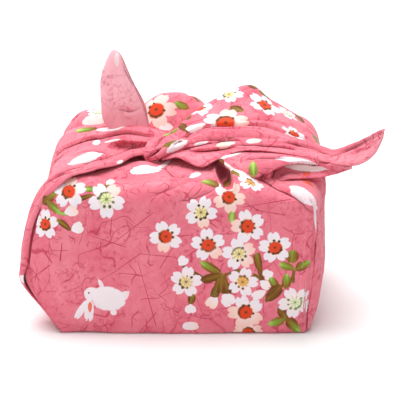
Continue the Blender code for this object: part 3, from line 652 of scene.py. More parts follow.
# The print: a blossom pattern, charted as motifs. Places are mm across and up in a view,
# the front one as the camera sees it; sizes are the cloth's own mm.
printSet = {
    "layers": {"stroke": 6, "blossom": 3},
    "wobble": {"stroke": 0.2, "blossom": 0.07},
    "slant": {"stroke": 0.3, "blossom": 0.6},  # see faceUp
    "bare": 9.0,  # a coordinate that is outside every motif
    "petal": "#ede3ea", "peach": "#f6c6b6", "glow": "#f8e2cf", "seam": "#e6c3cb",
    # (place, reach) from the middle of a petal to the gap beside it, then (place, half width) from
    # the start of a stroke to its end
    "petalOutline": ((0, 0.88), (0.09, 0.93), (0.2, 1), (0.45, 0.95), (0.72, 0.82), (0.92, 0.66), (1, 0.56)),
    "strokeOutlines": (
        ((0, 0.12), (0.08, 0.45), (0.35, 1), (0.7, 0.8), (0.9, 0.36), (1, 0)),  # pointed
        ((0, 0.45), (0.02, 0.6), (0.4, 0.62), (0.75, 0.95), (0.98, 0.8), (1, 0)),  # cut off
        ((0, 0), (0.1, 0.36), (0.55, 1), (0.85, 0.9), (0.96, 0.6), (1, 0.2)),  # widening
        ((0, 0), (0.06, 0.48), (0.25, 0.87), (0.5, 1), (0.75, 0.87), (0.94, 0.48), (1, 0)),  # round
    ),
    # a stroke's tones, 0 to 9, run along these: leaves from brown to light green, petals from
    # white to peach, and embers from orange to brown
    "leafTones": ("#6b3d12", "#85581a", "#8b7c2a", "#7f9c33", "#a9c661"),
    "petalTones": ("#efe6ea", "#f6dad2", "#f6c8b6"),
    "emberTones": ("#e8532c", "#b8442a", "#4a2a1c"),
    # kinds of centre: its colour, its reach as a share of the blossom's, and its dots' colour
    "centres": {
        "orange": ("#dd431f", 0.41, "#4d3a12"),
        "yellow": ("#f1dc9b", 0.34, "#41360f"),
        "mint": ("#e6eccb", 0.26, "#5f8c2c"),
        "amber": ("#efb45c", 0.34, "#7f4317"),
        "green": ("#dfe6a8", 0.30, "#4f5a17"),
    },
    # across, up, reach, turn, centre, first peach petal, peach petals; then up to where, if a fold
    # hides the rest of it
    "blossoms": (
        (-71.3, 4.9, 8.7, 0, "orange", 1, 1),
        (-50.9, 0.5, 9.3, 36, "green", 1, 1),
        (-84.4, -13.1, 7.6, 5, "orange", 0, 0),
        (-18.5, -19.9, 8.4, -24, "orange", 4, 1),
        (-7.6, -44.6, 8.2, 10, "yellow", 0, 0),
        (0.5, -6.8, 8.2, 24, "yellow", 3, 1),
        (15.8, 1.6, 8.2, 28, "orange", 1, 4),
        (26.1, -14.4, 8.7, -15, "orange", 5, 1),
        (4.4, -24.5, 8.7, -6, "orange", 3, 1),
        (21.2, -29.4, 8.7, -10, "yellow", 2, 2),
        (40.8, -25.9, 8.4, -8, "orange", 0, 0),
        (23.2, -44.6, 7.9, 18, "amber", 0, 0),
        (51.7, -55.8, 8.7, -27, "mint", 0, 0),
        (25, -61.2, 9.4, -20, "orange", 3, 3),
        (26.1, -72.4, 7.6, 0, "orange", 1, 5),
        (27.8, 9.6, 7.2, 30, "amber", 0, 0),
        (-55.5, 48.2, 6.5, 20, "mint", 0, 0),
        (-23.9, 49.3, 11.4, 15, "orange", 0, 5),
        (-0.6, 50, 7.6, -5, "orange", 5, 2),
        (15.8, 57.7, 8.2, 20, "yellow", 0, 0),
        (35.2, 51.7, 9.8, 40, "orange", 0, 0),
        (14, 42.3, 12.5, 8, "orange", 1, 2, 40.1),
        (48, 47.6, 7.1, 0, "mint", 0, 0),
        (51.4, 36.6, 7.4, 30, "orange", 0, 0),
    ),
    # kind, from across and up, to across and up, width, then the tones at its two ends
    "strokes": (
        ("line", -60.4, -19.1, -40.3, -25.6, 0.5),
        ("line", -65.9, -29.9, -47.4, -23.4, 0.5),
        ("line", -47.4, -23.4, -25.6, -7.1, 0.5),
        ("line", -47.9, -9.3, -49, -20.1, 0.6),
        ("line", -49, -40.8, -32.7, -29.4, 0.5),
        ("line", -32.7, -29.4, -15.2, -31, 0.5),
        ("line", -33.7, -34.3, -23.4, -70.2, 0.5),
        ("line", -44.6, -39.7, -32.7, -40.8, 0.5),
        ("line", -92.5, -43.5, -81.6, -35.4, 0.7),
        ("line", -75.1, -23.4, -76.2, -33.7, 0.8),
        ("line", -86, -26.1, -80.6, -34.3, 0.7),
        ("line", -34.8, -74, -23.4, -61, 0.5),
        ("line", -15.2, -31, -4.4, -33.7, 0.5),
        ("line", -12, -21.8, -21.8, -37, 0.5),
        ("line", 23.9, -3.8, 50.1, 0.5, 0.5),
        ("line", 23.9, -1.6, 33.7, -6.5, 0.5),
        ("line", 29.4, -5.4, 46.3, -8.2, 0.5),
        ("leaf", -86.5, -2.2, -77.8, 4.9, 5.4, 0, 5),
        ("leaf", -83.8, -0.5, -75.7, -7.6, 4.4, 3, 8),
        ("branch", -78.4, -7.1, -72.9, -7.6, 2.2, 7, 9),
        ("leaf", -68.6, -0.5, -57.2, 3.3, 2.7, 0, 3),
        ("leaf", -63.1, 5.7, -55.5, 6.5, 3.3, 8, 4),
        ("branch", -55.5, 6, -49, 8.7, 2.2, 1, 3),
        ("leaf", -77.8, -10.3, -69.7, -16.9, 3.3, 4, 0),
        ("leaf", 1.1, 11.4, 10.3, 7.6, 4.8, 8, 1),
        ("leaf", 17.7, -4.9, 17.1, -13.1, 3.8, 7, 9),
        ("branch", -9.3, -35.9, 1.6, -43, 2.7, 0, 1),
        ("leaf", 0, -33.7, 12.5, -40.8, 4.9, 7, 1),
        ("leaf", 0, -44.1, 12, -40.8, 4.9, 0, 2),
        ("branch", 12.2, -41.5, 11.4, -50.8, 4.6, 2, 1),
        ("branch", 11, -41, 7.6, -53, 5.2, 2, 0),
        ("branch", 12.4, -40.5, 15.4, -51.5, 5.6, 3, 0),
        ("branch", 13.1, -40.8, 22.3, -38.1, 2.2, 1, 2),
        ("branch", 34, -45, 30.7, -29.1, 4.4, 0, 3),
        ("branch", 33.2, -42.5, 28.6, -40.9, 2.6, 0, 0),
        ("leaf", 43, -34.8, 51.7, -37.6, 4.4, 8, 3),
        ("leaf", 51.7, -38.1, 60.4, -33.2, 4.9, 2, 7),
        ("branch", 51.2, -38.1, 50.1, -45.2, 2.7, 2, 0),
        ("leaf", 46.8, -48.4, 47.4, -39.7, 4.9, 2, 8),
        ("leaf", 38.1, -41.9, 43.5, -50.1, 4.4, 7, 1),
        ("leaf", 44.6, -46.3, 35.4, -55.5, 6.5, 1, 0),
        ("leaf", -3.8, -51.2, -5.4, -57.2, 4.4, 4, 1),
        ("leaf", 43, -58.2, 47.4, -65.9, 4.9, 1, 3),
        ("leaf", 46.8, -64.8, 36.5, -68, 4.9, 3, 9),
        ("leaf", 46.8, -64.2, 55, -72.4, 6, 1, 8),
        ("ball", 50.3, -27.4, 50.3, -34.2, 6.8, 5, 3),
        ("bud", -74, -7.3, -66.4, -4.9, 6, 0, 6),
        ("bud", -70.2, -16.3, -63.7, -14.2, 6, 0, 1),
        ("bud", -51.2, 8.4, -46.8, 10.9, 3.3, 0, 4),
        ("bud", -11.4, -35.7, -7.6, -31, 5.4, 0, 0),
        ("bud", -5.2, -56.6, -5.1, -61.8, 6, 0, 0),
        ("oval", -9.8, -68.6, -0.5, -68.6, 4.6, 0, 4),
        ("bud", 9.3, -52.8, 4.4, -58.2, 6.5, 0, 7),
        ("bud", 12.4, -51.2, 17.4, -57, 7.6, 0, 0),
        ("bud", 39.7, -39.2, 34.8, -41.9, 6, 0, 1),
        ("bud", 32.7, -44.1, 38.1, -47.9, 4.9, 0, 2),
        ("bud", 35.9, -49.5, 28.3, -53.3, 4.9, 2, 0),
        ("oval", -98, -42.5, -94.2, -43.5, 4.4, 0, 3),
        ("blade", 48.9, 9.4, 64.6, -3.2, 8.2, 0, 0),
        ("blade", 61.6, 3, 64.8, -18.5, 2.2, 0, 0),
        ("oval", 11.4, 21.2, 18, 16.6, 2, 0, 6),
        ("leaf", 18.6, 14.8, 32.1, 11.9, 1.8, 1, 3),
        ("leaf", 15.2, 15.8, 16.1, 6.5, 3.4, 0, 2),
        ("ember", 56.1, 12.8, 61, 16.1, 2.2, 0, 0),
        ("ember", 56.1, 12, 61.5, 7.1, 3.3, 0, 2),
        ("leaf", -67.5, 37.6, -55.5, 38.6, 4.9, 9, 2),
        ("oval", -56.6, 38.2, -40.7, 39.8, 3.4, 0, 1),
        ("oval", -58.2, 30.5, -54.4, 32.1, 3.3, 0, 1),
        ("bud", -72.2, 19.4, -54, 26.8, 7, 1, 0),
        ("oval", -45.2, 19.9, -41.9, 21.2, 1.9, 0, 2),
        ("oval", -52.8, 31.8, -43, 32.9, 1.4, 0, 3),
        ("oval", -38.1, 15.9, -21, 18.2, 5.6, 0, 1),
        ("oval", -25, 16.4, -15.8, 21, 2.6, 0, 3),
        ("oval", -5.4, 12.2, 0, 15.2, 3.8, 0, 3),
        ("oval", -45.4, 80.3, -45.2, 72.9, 2.7, 0, 3),
        ("leaf", -61, 46.8, -53.9, 44.6, 2.7, 1, 3),
        ("oval", -64.2, 43, -50.1, 44.6, 6, 2, 6),
        ("leaf", -13.6, 52.8, -5.4, 49.5, 4.9, 7, 2),
        ("oval", -8.7, 57.2, 1.6, 58.8, 4.9, 7, 7),
        ("leaf", -5.4, 57.2, 1.1, 53.9, 2.7, 1, 4),
        ("leaf", -13.1, 44.1, -4.4, 45.7, 4.4, 9, 1),
        ("leaf", -10.9, 42.5, -7.1, 36.5, 5.4, 1, 0),
        ("oval", -22.9, 40.3, -14.7, 39.7, 4.4, 0, 2),
        ("leaf", -19.6, 35.4, -12, 39.2, 4.4, 9, 5),
        ("oval", -7.6, 38.1, 1.6, 40.3, 4.9, 0, 3),
        ("leaf", -19.6, 29.4, -10.3, 33.2, 4.9, 3, 0),
        ("oval", -17.4, 26.7, -7.1, 32.7, 4.9, 0, 2),
        ("leaf", 26.1, 62.1, 32.1, 61.5, 3.3, 0, 2),
        ("leaf", 32.1, 58.8, 39.7, 56.1, 4.9, 2, 6),
        ("leaf", 16.9, 51.2, 23.4, 47.9, 6, 0, 3),
        ("leaf", 52.3, 47.9, 56.6, 41.4, 4.4, 2, 0),
        ("leaf", 62.1, 35.9, 65.9, 29.9, 3.3, 5, 6),
        ("oval", -3.3, 29.9, 4.9, 32.1, 1.9, 0, 2),
        ("oval", 8.7, 29.4, 19.1, 32.1, 3.8, 7, 4),
        ("oval", 25, 31.6, 33.7, 32.7, 2.7, 1, 6),
        ("leaf", 14.2, 32.7, 20.7, 33.7, 1.6, 5, 1),
        ("oval", 9.3, 22.6, 22.9, 26.7, 2.7, 0, 5),
        ("leaf", 29.1, 12.5, 28.8, 22.3, 4.9, 6, 9),
        ("leaf", 20.1, 15.2, 31.6, 12, 3.3, 4, 3),
        ("leaf", 9.8, 22.3, 13.1, 19.6, 3.3, 0, 1),
        ("oval", 12, 21.2, 20.7, 14.7, 3.3, 1, 5),
        ("leaf", 16.3, 16.9, 21.8, 13.1, 2.7, 3, 5),
        ("blade", 40.9, 23.6, 64.2, 20.2, 3.4, 0, 0),
        ("blade", 46.8, 18.4, 69.7, 17.4, 3.8, 3, 2),
    ),
    # a hare, about its own middle
    "hare": {
        "strokes": (
            ("oval", -9.5, 0.9, 9, -1.8, 13, 0, 0), ("oval", -13.3, 2.5, -4.6, 1.7, 7.1, 0, 0),
            ("bud", -10.6, -0.2, -17.7, -11.3, 3.6, 0, 0), ("bud", -9.8, 0.3, -10.9, -13, 4.9, 0, 0),
            ("ember", -9.9, -2, -10.1, -8.6, 2.2, 0, 0), ("blade", 5.2, -1.8, 11.2, 3.6, 4.9, 0, 0),
            ("oval", 1.1, -7.8, 4.7, -8.1, 3.3, 0, 2), ("blade", -3, 5.3, -5.4, 10.2, 2.4, 0, 0),
            ("ember", -11.1, 2.6, -10.1, 2.6, 1, 9, 9),
        ),
        "blossoms": (),
    },
    # one cluster of the repeat, for the sides that the front view doesn't reach
    "spray": {
        "strokes": (
            ("leaf", -20, -13, -7, -20, 5.5, 7, 1), ("branch", -29, -15, -18, -22, 3, 0, 1),
            ("leaf", -20, -23, -8, -20, 5, 0, 2), ("branch", -8, -19, -8, -30, 6, 1, 3),
            ("leaf", -10, -21, -13, -33, 5, 2, 0), ("branch", 14, -9, 17, -25, 3.3, 2, 0),
            ("leaf", 25, -15, 34, -18, 4.5, 8, 3), ("leaf", 34, -18, 43, -13, 5, 2, 7),
            ("leaf", 29, -29, 19, -38, 6.5, 1, 0), ("leaf", 27, -41, 17, -45, 5, 3, 9),
            ("leaf", 6, 0, 12, 12, 4, 7, 9), ("bud", -35, -12, -30, -8, 5.5, 0, 0),
            ("bud", 14, -26, 8, -31, 6, 0, 2), ("bud", -13, -33, -19, -39, 6.5, 0, 7),
            ("bud", -6, -31, -2, -37, 7, 0, 0), ("oval", -30, -50, -21, -50, 4.6, 0, 4),
        ),
        "blossoms": (
            (-22, 17, 8.7, 24, "yellow", 3, 1), (-16, -2, 8.7, -6, "orange", 3, 1),
            (3, 4, 8.7, -15, "orange", 5, 1), (8, 22, 8.7, 28, "orange", 2, 2),
            (20, -7, 8.5, -8, "orange", 0, 0), (-2, -24, 8, 18, "amber", 0, 0),
            (31, -32, 8.7, -27, "mint", 0, 0), (3, -43, 9.6, -20, "orange", 4, 3),
        ),
    },
    # view, across, up and turn of each cluster
    "clusters": (
        ("front", -49.9, -53.2, 0, "hare"), ("back", -34, 52, 20, "spray"),
        ("back", 32, 22, 150, "spray"), ("left", -26, 50, -70, "spray"),
        ("right", 22, 42, 190, "spray"), ("right", -22, 20, 80, "spray"),
    ),
}

strokeKinds = {  # outline, then colours: 0 a leaf's, 1 a petal's, 2 an ember's, 3 a line's
    "leaf": (0, 0), "branch": (1, 0), "bud": (2, 1), "oval": (3, 1), "blade": (0, 1),
    "line": (1, 3), "ember": (0, 2), "ball": (3, 0),
}


def readArray(items, what, wide, kind=float):
    # one value of each item, as an array with so many numbers in a row
    values = np.empty(len(items) * wide, kind)
    items.foreach_get(what, values)
    return values.reshape(-1, wide) if wide > 1 else values


def facesOf(piece):
    # the middles, outward directions and corner points of a piece's faces, in mm
    data = piece.data
    middles = readArray(data.polygons, "center", 3) / millimetre
    normals = readArray(data.polygons, "normal", 3)
    points = readArray(data.vertices, "co", 3) / millimetre
    sizes = readArray(data.polygons, "loop_total", 1, int)
    turnedAway = normals @ viewAxes("front")[2] < 0.05  # other views only print what this leaves
    views = ("front", *sideViews)
    return {
        "piece": piece, "middles": middles, "normals": normals,
        "open": {view: turnedAway | (view == "front") for view in views},
        "views": {view: placesIn(view, middles) for view in views},
        "corners": points[readArray(data.loops, "vertex_index", 1, int)],
        "face": np.repeat(np.arange(len(sizes)), sizes), "used": {}, "values": {},
    }


def findPlace(cloths, view, place):
    # the front-most cloth at a place in a view, with its point and its outward direction
    toward = viewAxes(view)[2]
    found = None
    for cloth in cloths:
        places, near = cloth["views"][view]
        close = np.hypot(*(places - place).T) < 1.5
        close = np.flatnonzero(close & (cloth["normals"] @ toward > 0.05) & cloth["open"][view])
        if len(close):
            pick = close[near[close].argmax()]
            if found is None or near[pick] > found[0]:
                found = (near[pick], cloth, pick)
    if found is None:
        return None
    _, cloth, pick = found
    around = np.linalg.norm(cloth["middles"] - cloth["middles"][pick], axis=1) < 3.0
    around &= cloth["normals"] @ cloth["normals"][pick] > 0.5
    normal = cloth["normals"][around].mean(axis=0)
    return cloth, cloth["middles"][pick], normal / np.linalg.norm(normal)


def faceUp(normal, toward, least):
    # where the cloth is steeper than this, a motif is cast on a plane half turned to the viewer
    slant = normal @ toward
    if slant < least:
        normal = normal + toward * (least - slant)
        normal /= np.linalg.norm(normal)
    return normal


def castOn(view, place, point, normal):
    # where the line of sight at a place in a view meets the plane through point
    right, top, toward = viewAxes(view)
    if view == "front":
        eye = np.array(cameraSet["target"]) + toward * cameraSet["distance"]
        through = np.array(cameraSet["target"]) + right * place[0] + top * place[1]
        ray = through - eye
    else:
        eye = right * place[0] + top * place[1] + toward * 300.0
        ray = -toward
    return eye + ray * ((point - eye) @ normal) / (ray @ normal)


def setMotif(cloth, layerName, faces, local):
    # gives these faces a motif's own coordinates: a stroke's in the first layer above what they
    # already hold, while there is one, and a blossom's in the first layer with room
    count = printSet["layers"][layerName]
    held = [index for index in range(count)
            if (layerName, index) in cloth["used"] and cloth["used"][layerName, index][faces].any()]
    level = max(held, default=-1) + 1
    if layerName == "blossom" or level >= count:
        level = next((index for index in range(count) if index not in held), count)
    if level >= count:
        return False
    key = (layerName, level)
    if key not in cloth["used"]:
        cloth["used"][key] = np.zeros(len(cloth["middles"]), bool)
        cloth["values"][key] = np.full((len(cloth["corners"]), 3), printSet["bare"])
    cloth["used"][key][faces] = True
    chosen = np.isin(cloth["face"], np.flatnonzero(faces))
    cloth["values"][key][chosen] = local[chosen]
    return True


def setBlossom(cloths, view, row):
    across, up, reach, turn, centre, peachFrom, peachCount, *lowest = row
    found = findPlace(cloths, view, (across, up))
    if found is None:
        return False
    cloth, point, normal = found
    _, top, toward = viewAxes(view)
    normal = faceUp(normal, toward, printSet["slant"]["blossom"])
    point = castOn(view, (across, up), point, normal)
    rise = top - (top @ normal) * normal
    rise /= np.linalg.norm(rise)
    side = np.cross(rise, normal)
    angle = math.radians(turn)
    axes = np.stack([side * math.cos(angle) - rise * math.sin(angle),
                     side * math.sin(angle) + rise * math.cos(angle)])
    flat = (cloth["middles"] - point) @ axes.T
    deep = np.abs((cloth["middles"] - point) @ normal)
    faces = (np.hypot(*flat.T) < reach * 1.02 + 0.9) & (deep < reach)
    faces &= (cloth["normals"] @ normal > 0.1) & cloth["open"][view]
    if lowest:
        faces &= cloth["views"][view][0][:, 1] > lowest[0]
    code = list(printSet["centres"]).index(centre) * 100 + peachFrom * 10 + peachCount
    away = (cloth["corners"] - point) @ axes.T / reach
    return setMotif(cloth, "blossom", faces, np.column_stack([away, np.full(len(away), code)]))


def setStroke(cloths, view, row):
    kind, fromAcross, fromUp, toAcross, toUp, width, *tones = row
    tones = (*tones, 0, 0)[:2]
    found = findPlace(cloths, view, ((fromAcross + toAcross) / 2, (fromUp + toUp) / 2))
    if found is None:
        return False
    cloth, point, normal = found
    right, top, toward = viewAxes(view)
    normal = faceUp(normal, toward, printSet["slant"]["stroke"])
    start = castOn(view, (fromAcross, fromUp), point, normal)
    end = castOn(view, (toAcross, toUp), point, normal)
    length = np.linalg.norm(end - start)
    run = (end - start) / length
    side = np.cross(normal, run)
    width = width / max(0.3, math.hypot(side @ right, side @ top))
    away = cloth["middles"] - start
    t, s = away @ run / length, away @ side / (width / 2)
    deep = np.abs(away @ normal)
    faces = (t > -1.2 / length) & (t < 1 + 1.2 / length) & (np.abs(s) < 1 + 2.4 / width)
    faces &= (deep < 5 + 0.3 * length) & (cloth["normals"] @ normal > 0.0) & cloth["open"][view]
    outline, family = strokeKinds[kind]
    code = family * 1000 + outline * 100 + tones[0] * 10 + tones[1]
    away = cloth["corners"] - start
    local = np.column_stack([away @ run / length, away @ side / (width / 2), np.full(len(away), code)])
    return setMotif(cloth, "stroke", faces, local)


def placedAt(spot, across, up):
    # a cluster's own place made a place in its view
    shiftAcross, shiftUp, angle = spot
    angle = math.radians(angle)
    return (shiftAcross + (across * math.cos(angle) + up * math.sin(angle)),
            shiftUp + (up * math.cos(angle) - across * math.sin(angle)))


def printCloth(pieces):
    # sets out the whole print, and writes each layer to the pieces as corner attributes
    cloths = [facesOf(piece) for piece in pieces]
    placed = [setStroke(cloths, "front", row) for row in printSet["strokes"]]
    placed += [setBlossom(cloths, "front", row) for row in printSet["blossoms"]]
    for view, *spot, cluster in printSet["clusters"]:
        for kind, fromAcross, fromUp, toAcross, toUp, *rest in printSet[cluster]["strokes"]:
            start, end = placedAt(spot, fromAcross, fromUp), placedAt(spot, toAcross, toUp)
            placed.append(setStroke(cloths, view, (kind, *start, *end, *rest)))
        for across, up, reach, turn, *rest in printSet[cluster]["blossoms"]:
            row = (*placedAt(spot, across, up), reach, turn + spot[2], *rest)
            placed.append(setBlossom(cloths, view, row))
    print("motifs printed:", sum(placed), "of", len(placed))
    layers = [(name, index) for name, count in printSet["layers"].items() for index in range(count)]
    for cloth in cloths:
        for name, index in layers:
            attribute = cloth["piece"].data.attributes.new(f"{name}{index}", "FLOAT_VECTOR", "CORNER")
            unprinted = np.full((len(cloth["corners"]), 3), printSet["bare"])
            attribute.data.foreach_set("vector", cloth["values"].get((name, index), unprinted).ravel())


def linearColour(code):
    # an sRGB hex colour as Blender's linear numbers
    parts = [int(code[i:i + 2], 16) / 255 for i in (1, 3, 5)]
    return (*[p / 12.92 if p <= 0.04045 else ((p + 0.055) / 1.055) ** 2.4 for p in parts], 1.0)


def addNode(tree, kind, settings, *inputs, out=0, slots=None, **named):
    # adds a node: its settings, or just its operation, then its inputs in order, by number or by
    # name, each a number, a colour's hex or another node's output; it gives back one output
    made = tree.nodes.new("ShaderNode" + kind)
    settings = {"operation": settings} if isinstance(settings, str) else settings
    for key, value in settings.items():
        setattr(made, key, value)
    wanted = [(made.inputs[index], value) for index, value in [*enumerate(inputs), *(slots or {}).items()]]
    wanted += [(made.inputs[key.replace("_", " ")], value) for key, value in named.items()]
    for socket, value in wanted:
        if isinstance(value, bpy.types.NodeSocket):
            tree.links.new(value, socket)
        else:
            socket.default_value = linearColour(value) if isinstance(value, str) else value
    return made.outputs[out]


def setCurve(output, points):
    # a Float Curve's own points, given as (place, height) pairs
    curve = output.node.mapping.curves[0]
    while len(curve.points) < len(points):
        curve.points.new(0.5, 0.5)
    for point, place in zip(curve.points, points):
        point.location = place
    output.node.mapping.update()


def setRamp(output, tints, parts, interpolation="LINEAR"):
    # a Color Ramp's own stops: these colours, a step of 1 / parts from each to the next
    ramp = output.node.color_ramp
    ramp.interpolation = interpolation
    while len(ramp.elements) < len(tints):
        ramp.elements.new(1.0)
    for index, (element, tint) in enumerate(zip(ramp.elements, tints)):
        element.position = index / parts
        element.color = linearColour(tint)
    return output


mixColour = {"data_type": "RGBA"}


def motifGroup(name):
    # a new node group, and what both kinds of motif start from: its node-adding function, the
    # motif's own coordinates roughened by the wobble, whole and split, its code, and its output
    tree = bpy.data.node_groups.new(name, "ShaderNodeTree")
    for way, sockets in (("INPUT", {"Place": "Vector", "Wobble": "Vector"}),
                         ("OUTPUT", {"Color": "Color", "Mask": "Float"})):
        for label, kind in sockets.items():
            tree.interface.new_socket(label, in_out=way, socket_type="NodeSocket" + kind)
    add = partial(addNode, tree)
    given, result = tree.nodes.new("NodeGroupInput"), tree.nodes.new("NodeGroupOutput")
    place = add("VectorMath", "ADD", given.outputs["Place"], given.outputs["Wobble"])
    split = add("SeparateXYZ", {}, place).node
    code = add("SeparateXYZ", {}, given.outputs["Place"], out=2)
    return add, place, split, code, result


def readDigits(add, code, places):
    # the digits that a code holds, one for each place value, and then its last one
    digits = []
    for place in places:
        digits.append(add("Math", "FLOOR", add("Math", "MULTIPLY", code, 1 / place)))
        code = add("Math", "FLOORED_MODULO", code, place)
    return *digits, code


def finishGroup(result, **outputs):
    for label, output in outputs.items():
        result.id_data.links.new(output, result.inputs[label])
    return result.id_data


def ringOfDots(add, angle, reach, lean, kind, code):
    # uneven dots round a centre, run together on one side, on threads but for the orange kind
    dotCount = 9
    ring = add("Math", "MULTIPLY", angle, dotCount / (2 * math.pi))
    nearest = add("Math", "ROUND", ring)
    aside = add("Math", "SUBTRACT", ring, nearest)
    aside = add("Math", "MULTIPLY", aside, 2 * math.pi / dotCount)
    aside = add("Math", "MULTIPLY", aside, reach)
    seed = add("CombineXYZ", {}, nearest, code)
    chance = add("TexWhiteNoise", {"noise_dimensions": "2D"}, seed)
    far = add("MapRange", {}, chance, 0.0, 1.0, 0.34, 0.46)
    beyond = add("Math", "SUBTRACT", reach, far)
    spot = add("VectorMath", "LENGTH", add("CombineXYZ", {}, aside, beyond), out=1)
    size = add("MapRange", {}, chance, 0.15, 0.6, 0.0, 0.085)
    spot = add("Math", "SUBTRACT", size, spot)
    dots = add("MapRange", {}, spot, -0.015, 0.015, 0.0, 1.0)
    lean = add("MapRange", {}, lean, 0.35, 0.75, 0.0, 0.85)
    band = add("Math", "COMPARE", reach, 0.38, 0.06)
    lean = add("Math", "MULTIPLY", lean, band)
    dots = add("Math", "MAXIMUM", dots, lean)
    middle = add("MapRange", {}, reach, 0.11, 0.06, 0.0, 0.8)
    dots = add("Math", "MAXIMUM", dots, middle)
    thread = add("MapRange", {}, add("Math", "ABSOLUTE", aside), 0.035, 0.01, 0.0, 0.45)
    thread = add("Math", "MULTIPLY", thread, add("Math", "LESS_THAN", reach, 0.4))
    thread = add("Math", "MULTIPLY", thread, add("Math", "GREATER_THAN", kind, 0.5))
    return add("Math", "MAXIMUM", dots, thread)


def blossomGroup():
    # Five notched petals round a centre with a ring of dots, from a motif's own coordinates:
    # x and y as shares of its reach, and z whose digits are the kind of its centre, its first peach
    # petal and how many are peach.
    add, place, split, code, result = motifGroup("blossomPrint")
    petalCount = 5
    flat = add("VectorMath", "MULTIPLY", place, (1, 1, 0))
    reach = add("VectorMath", "LENGTH", flat, out=1)
    angle = add("Math", "ARCTAN2", split.outputs[0], split.outputs[1])
    share = add("Math", "MULTIPLY", angle, petalCount / (2 * math.pi))
    petal = add("Math", "ROUND", share)
    off = add("Math", "ABSOLUTE", add("Math", "SUBTRACT", share, petal))
    off = add("Math", "MULTIPLY", off, 2.0)
    outline = add("FloatCurve", {}, 1.0, off)
    setCurve(outline, printSet["petalOutline"])
    inside = add("Math", "SUBTRACT", outline, reach)
    mask = add("MapRange", {}, inside, -0.03, 0.03, 0.0, 1.0)
    # which petals are peach
    kind, first, count = readDigits(add, code, (100, 10))
    turn = add("Math", "ADD", add("Math", "SUBTRACT", petal, first), 1.25)
    turn = add("Math", "FLOORED_MODULO", turn, petalCount)
    peach = add("Math", "LESS_THAN", turn, count)
    tip = add("MapRange", {}, reach, 0.2, 1.0, 0.45, 0.95)
    peach = add("Math", "MULTIPLY", peach, tip)
    colour = add("Mix", mixColour, peach, slots={6: printSet["petal"], 7: printSet["peach"]}, out=2)
    # a warm glow near the centre, and a faint shade between the petals
    glow = add("MapRange", {}, reach, 0.35, 0.68, 0.6, 0.0)
    colour = add("Mix", mixColour, glow, slots={6: colour, 7: printSet["glow"]}, out=2)
    seam = add("MapRange", {}, off, 0.84, 1.0, 0.0, 0.45)
    colour = add("Mix", mixColour, seam, slots={6: colour, 7: printSet["seam"]}, out=2)
    # the centre, its colour and reach picked by kind
    kinds = list(printSet["centres"].values())
    pick = add("Math", "DIVIDE", add("Math", "ADD", kind, 0.5), len(kinds))
    disc = setRamp(add("ValToRGB", {}, pick), [centre for centre, _, _ in kinds], len(kinds), "CONSTANT")
    for element, (_, far, _) in zip(disc.node.color_ramp.elements, kinds):
        element.alpha = far
    dotColour = setRamp(add("ValToRGB", {}, pick), [dot for _, _, dot in kinds], len(kinds), "CONSTANT")
    lean = add("TexWhiteNoise", {"noise_dimensions": "1D"}, slots={1: code})
    lean = add("Math", "COSINE", add("Math", "MULTIPLY_ADD", lean, 6.28, angle))
    edge = add("Math", "MULTIPLY_ADD", lean, 0.05, disc.node.outputs[1])
    edge = add("Math", "SUBTRACT", edge, reach)
    centre = add("MapRange", {}, edge, -0.05, 0.03, 0.0, 1.0)
    colour = add("Mix", mixColour, centre, slots={6: colour, 7: disc}, out=2)
    dots = ringOfDots(add, angle, reach, lean, kind, code)
    colour = add("Mix", mixColour, dots, slots={6: colour, 7: dotColour}, out=2)
    return finishGroup(result, Color=colour, Mask=mask)


def strokeGroup():
    # One brush stroke, from its own coordinates: x along it from 0 to 1, y across it from -1 to 1,
    # and z whose digits are its colour family, its outline and the tones at its two ends.
    add, place, split, code, result = motifGroup("strokePrint")
    family, outline, startTone, endTone = readDigits(add, code, (1000, 100, 10))
    width = 0.0
    for index, points in enumerate(printSet["strokeOutlines"]):
        curve = add("FloatCurve", {}, 1.0, split.outputs[0])
        setCurve(curve, points)
        chosen = add("Math", "COMPARE", outline, index, 0.4)
        width = add("Math", "MULTIPLY_ADD", curve, chosen, width)
    side = add("Math", "ABSOLUTE", split.outputs[1])
    mask = add("MapRange", {}, add("Math", "SUBTRACT", width, side), 0.0, 0.1, 0.0, 1.0)
    # a bud's far end is notched
    notch = add("Math", "SUBTRACT", add("Math", "MULTIPLY_ADD", side, 0.4, 0.9), split.outputs[0])
    notch = add("MapRange", {}, notch, -0.02, 0.04, 0.0, 1.0)
    plain = add("Math", "SUBTRACT", 1.0, add("Math", "COMPARE", outline, 2.0, 0.4))
    mask = add("Math", "MULTIPLY", mask, add("Math", "MAXIMUM", notch, plain))
    # the brush's streaks run along the stroke, darker to the edges
    brush = add("VectorMath", "MULTIPLY", place, (1.4, 3.4, 1.0))
    brush = add("TexNoise", {}, brush, Scale=1.0, Detail=2.0)
    tone = add("MapRange", {}, split.outputs[0], 0.05, 0.95, startTone, endTone)
    tone = add("Math", "DIVIDE", tone, 9.0)
    lit = add("MapRange", {}, side, 0.0, 0.85, 0.2, -0.28)
    lit = add("Math", "ADD", tone, lit)
    brush = add("Math", "SUBTRACT", brush, 0.5)
    lit = add("Math", "MULTIPLY_ADD", brush, 0.9, lit)
    leaf, petal, ember = (
        setRamp(add("ValToRGB", {}, amount), printSet[tones], len(printSet[tones]) - 1)
        for amount, tones in ((lit, "leafTones"), (tone, "petalTones"), (tone, "emberTones")))
    ember.node.color_ramp.elements[1].position = 0.3  # it darkens soon
    colour = leaf
    for index, other in enumerate((petal, ember, cottonSet["line"])):
        chosen = add("Math", "COMPARE", family, index + 1, 0.4)
        colour = add("Mix", mixColour, chosen, slots={6: colour, 7: other}, out=2)
    return finishGroup(result, Color=colour, Mask=mask)


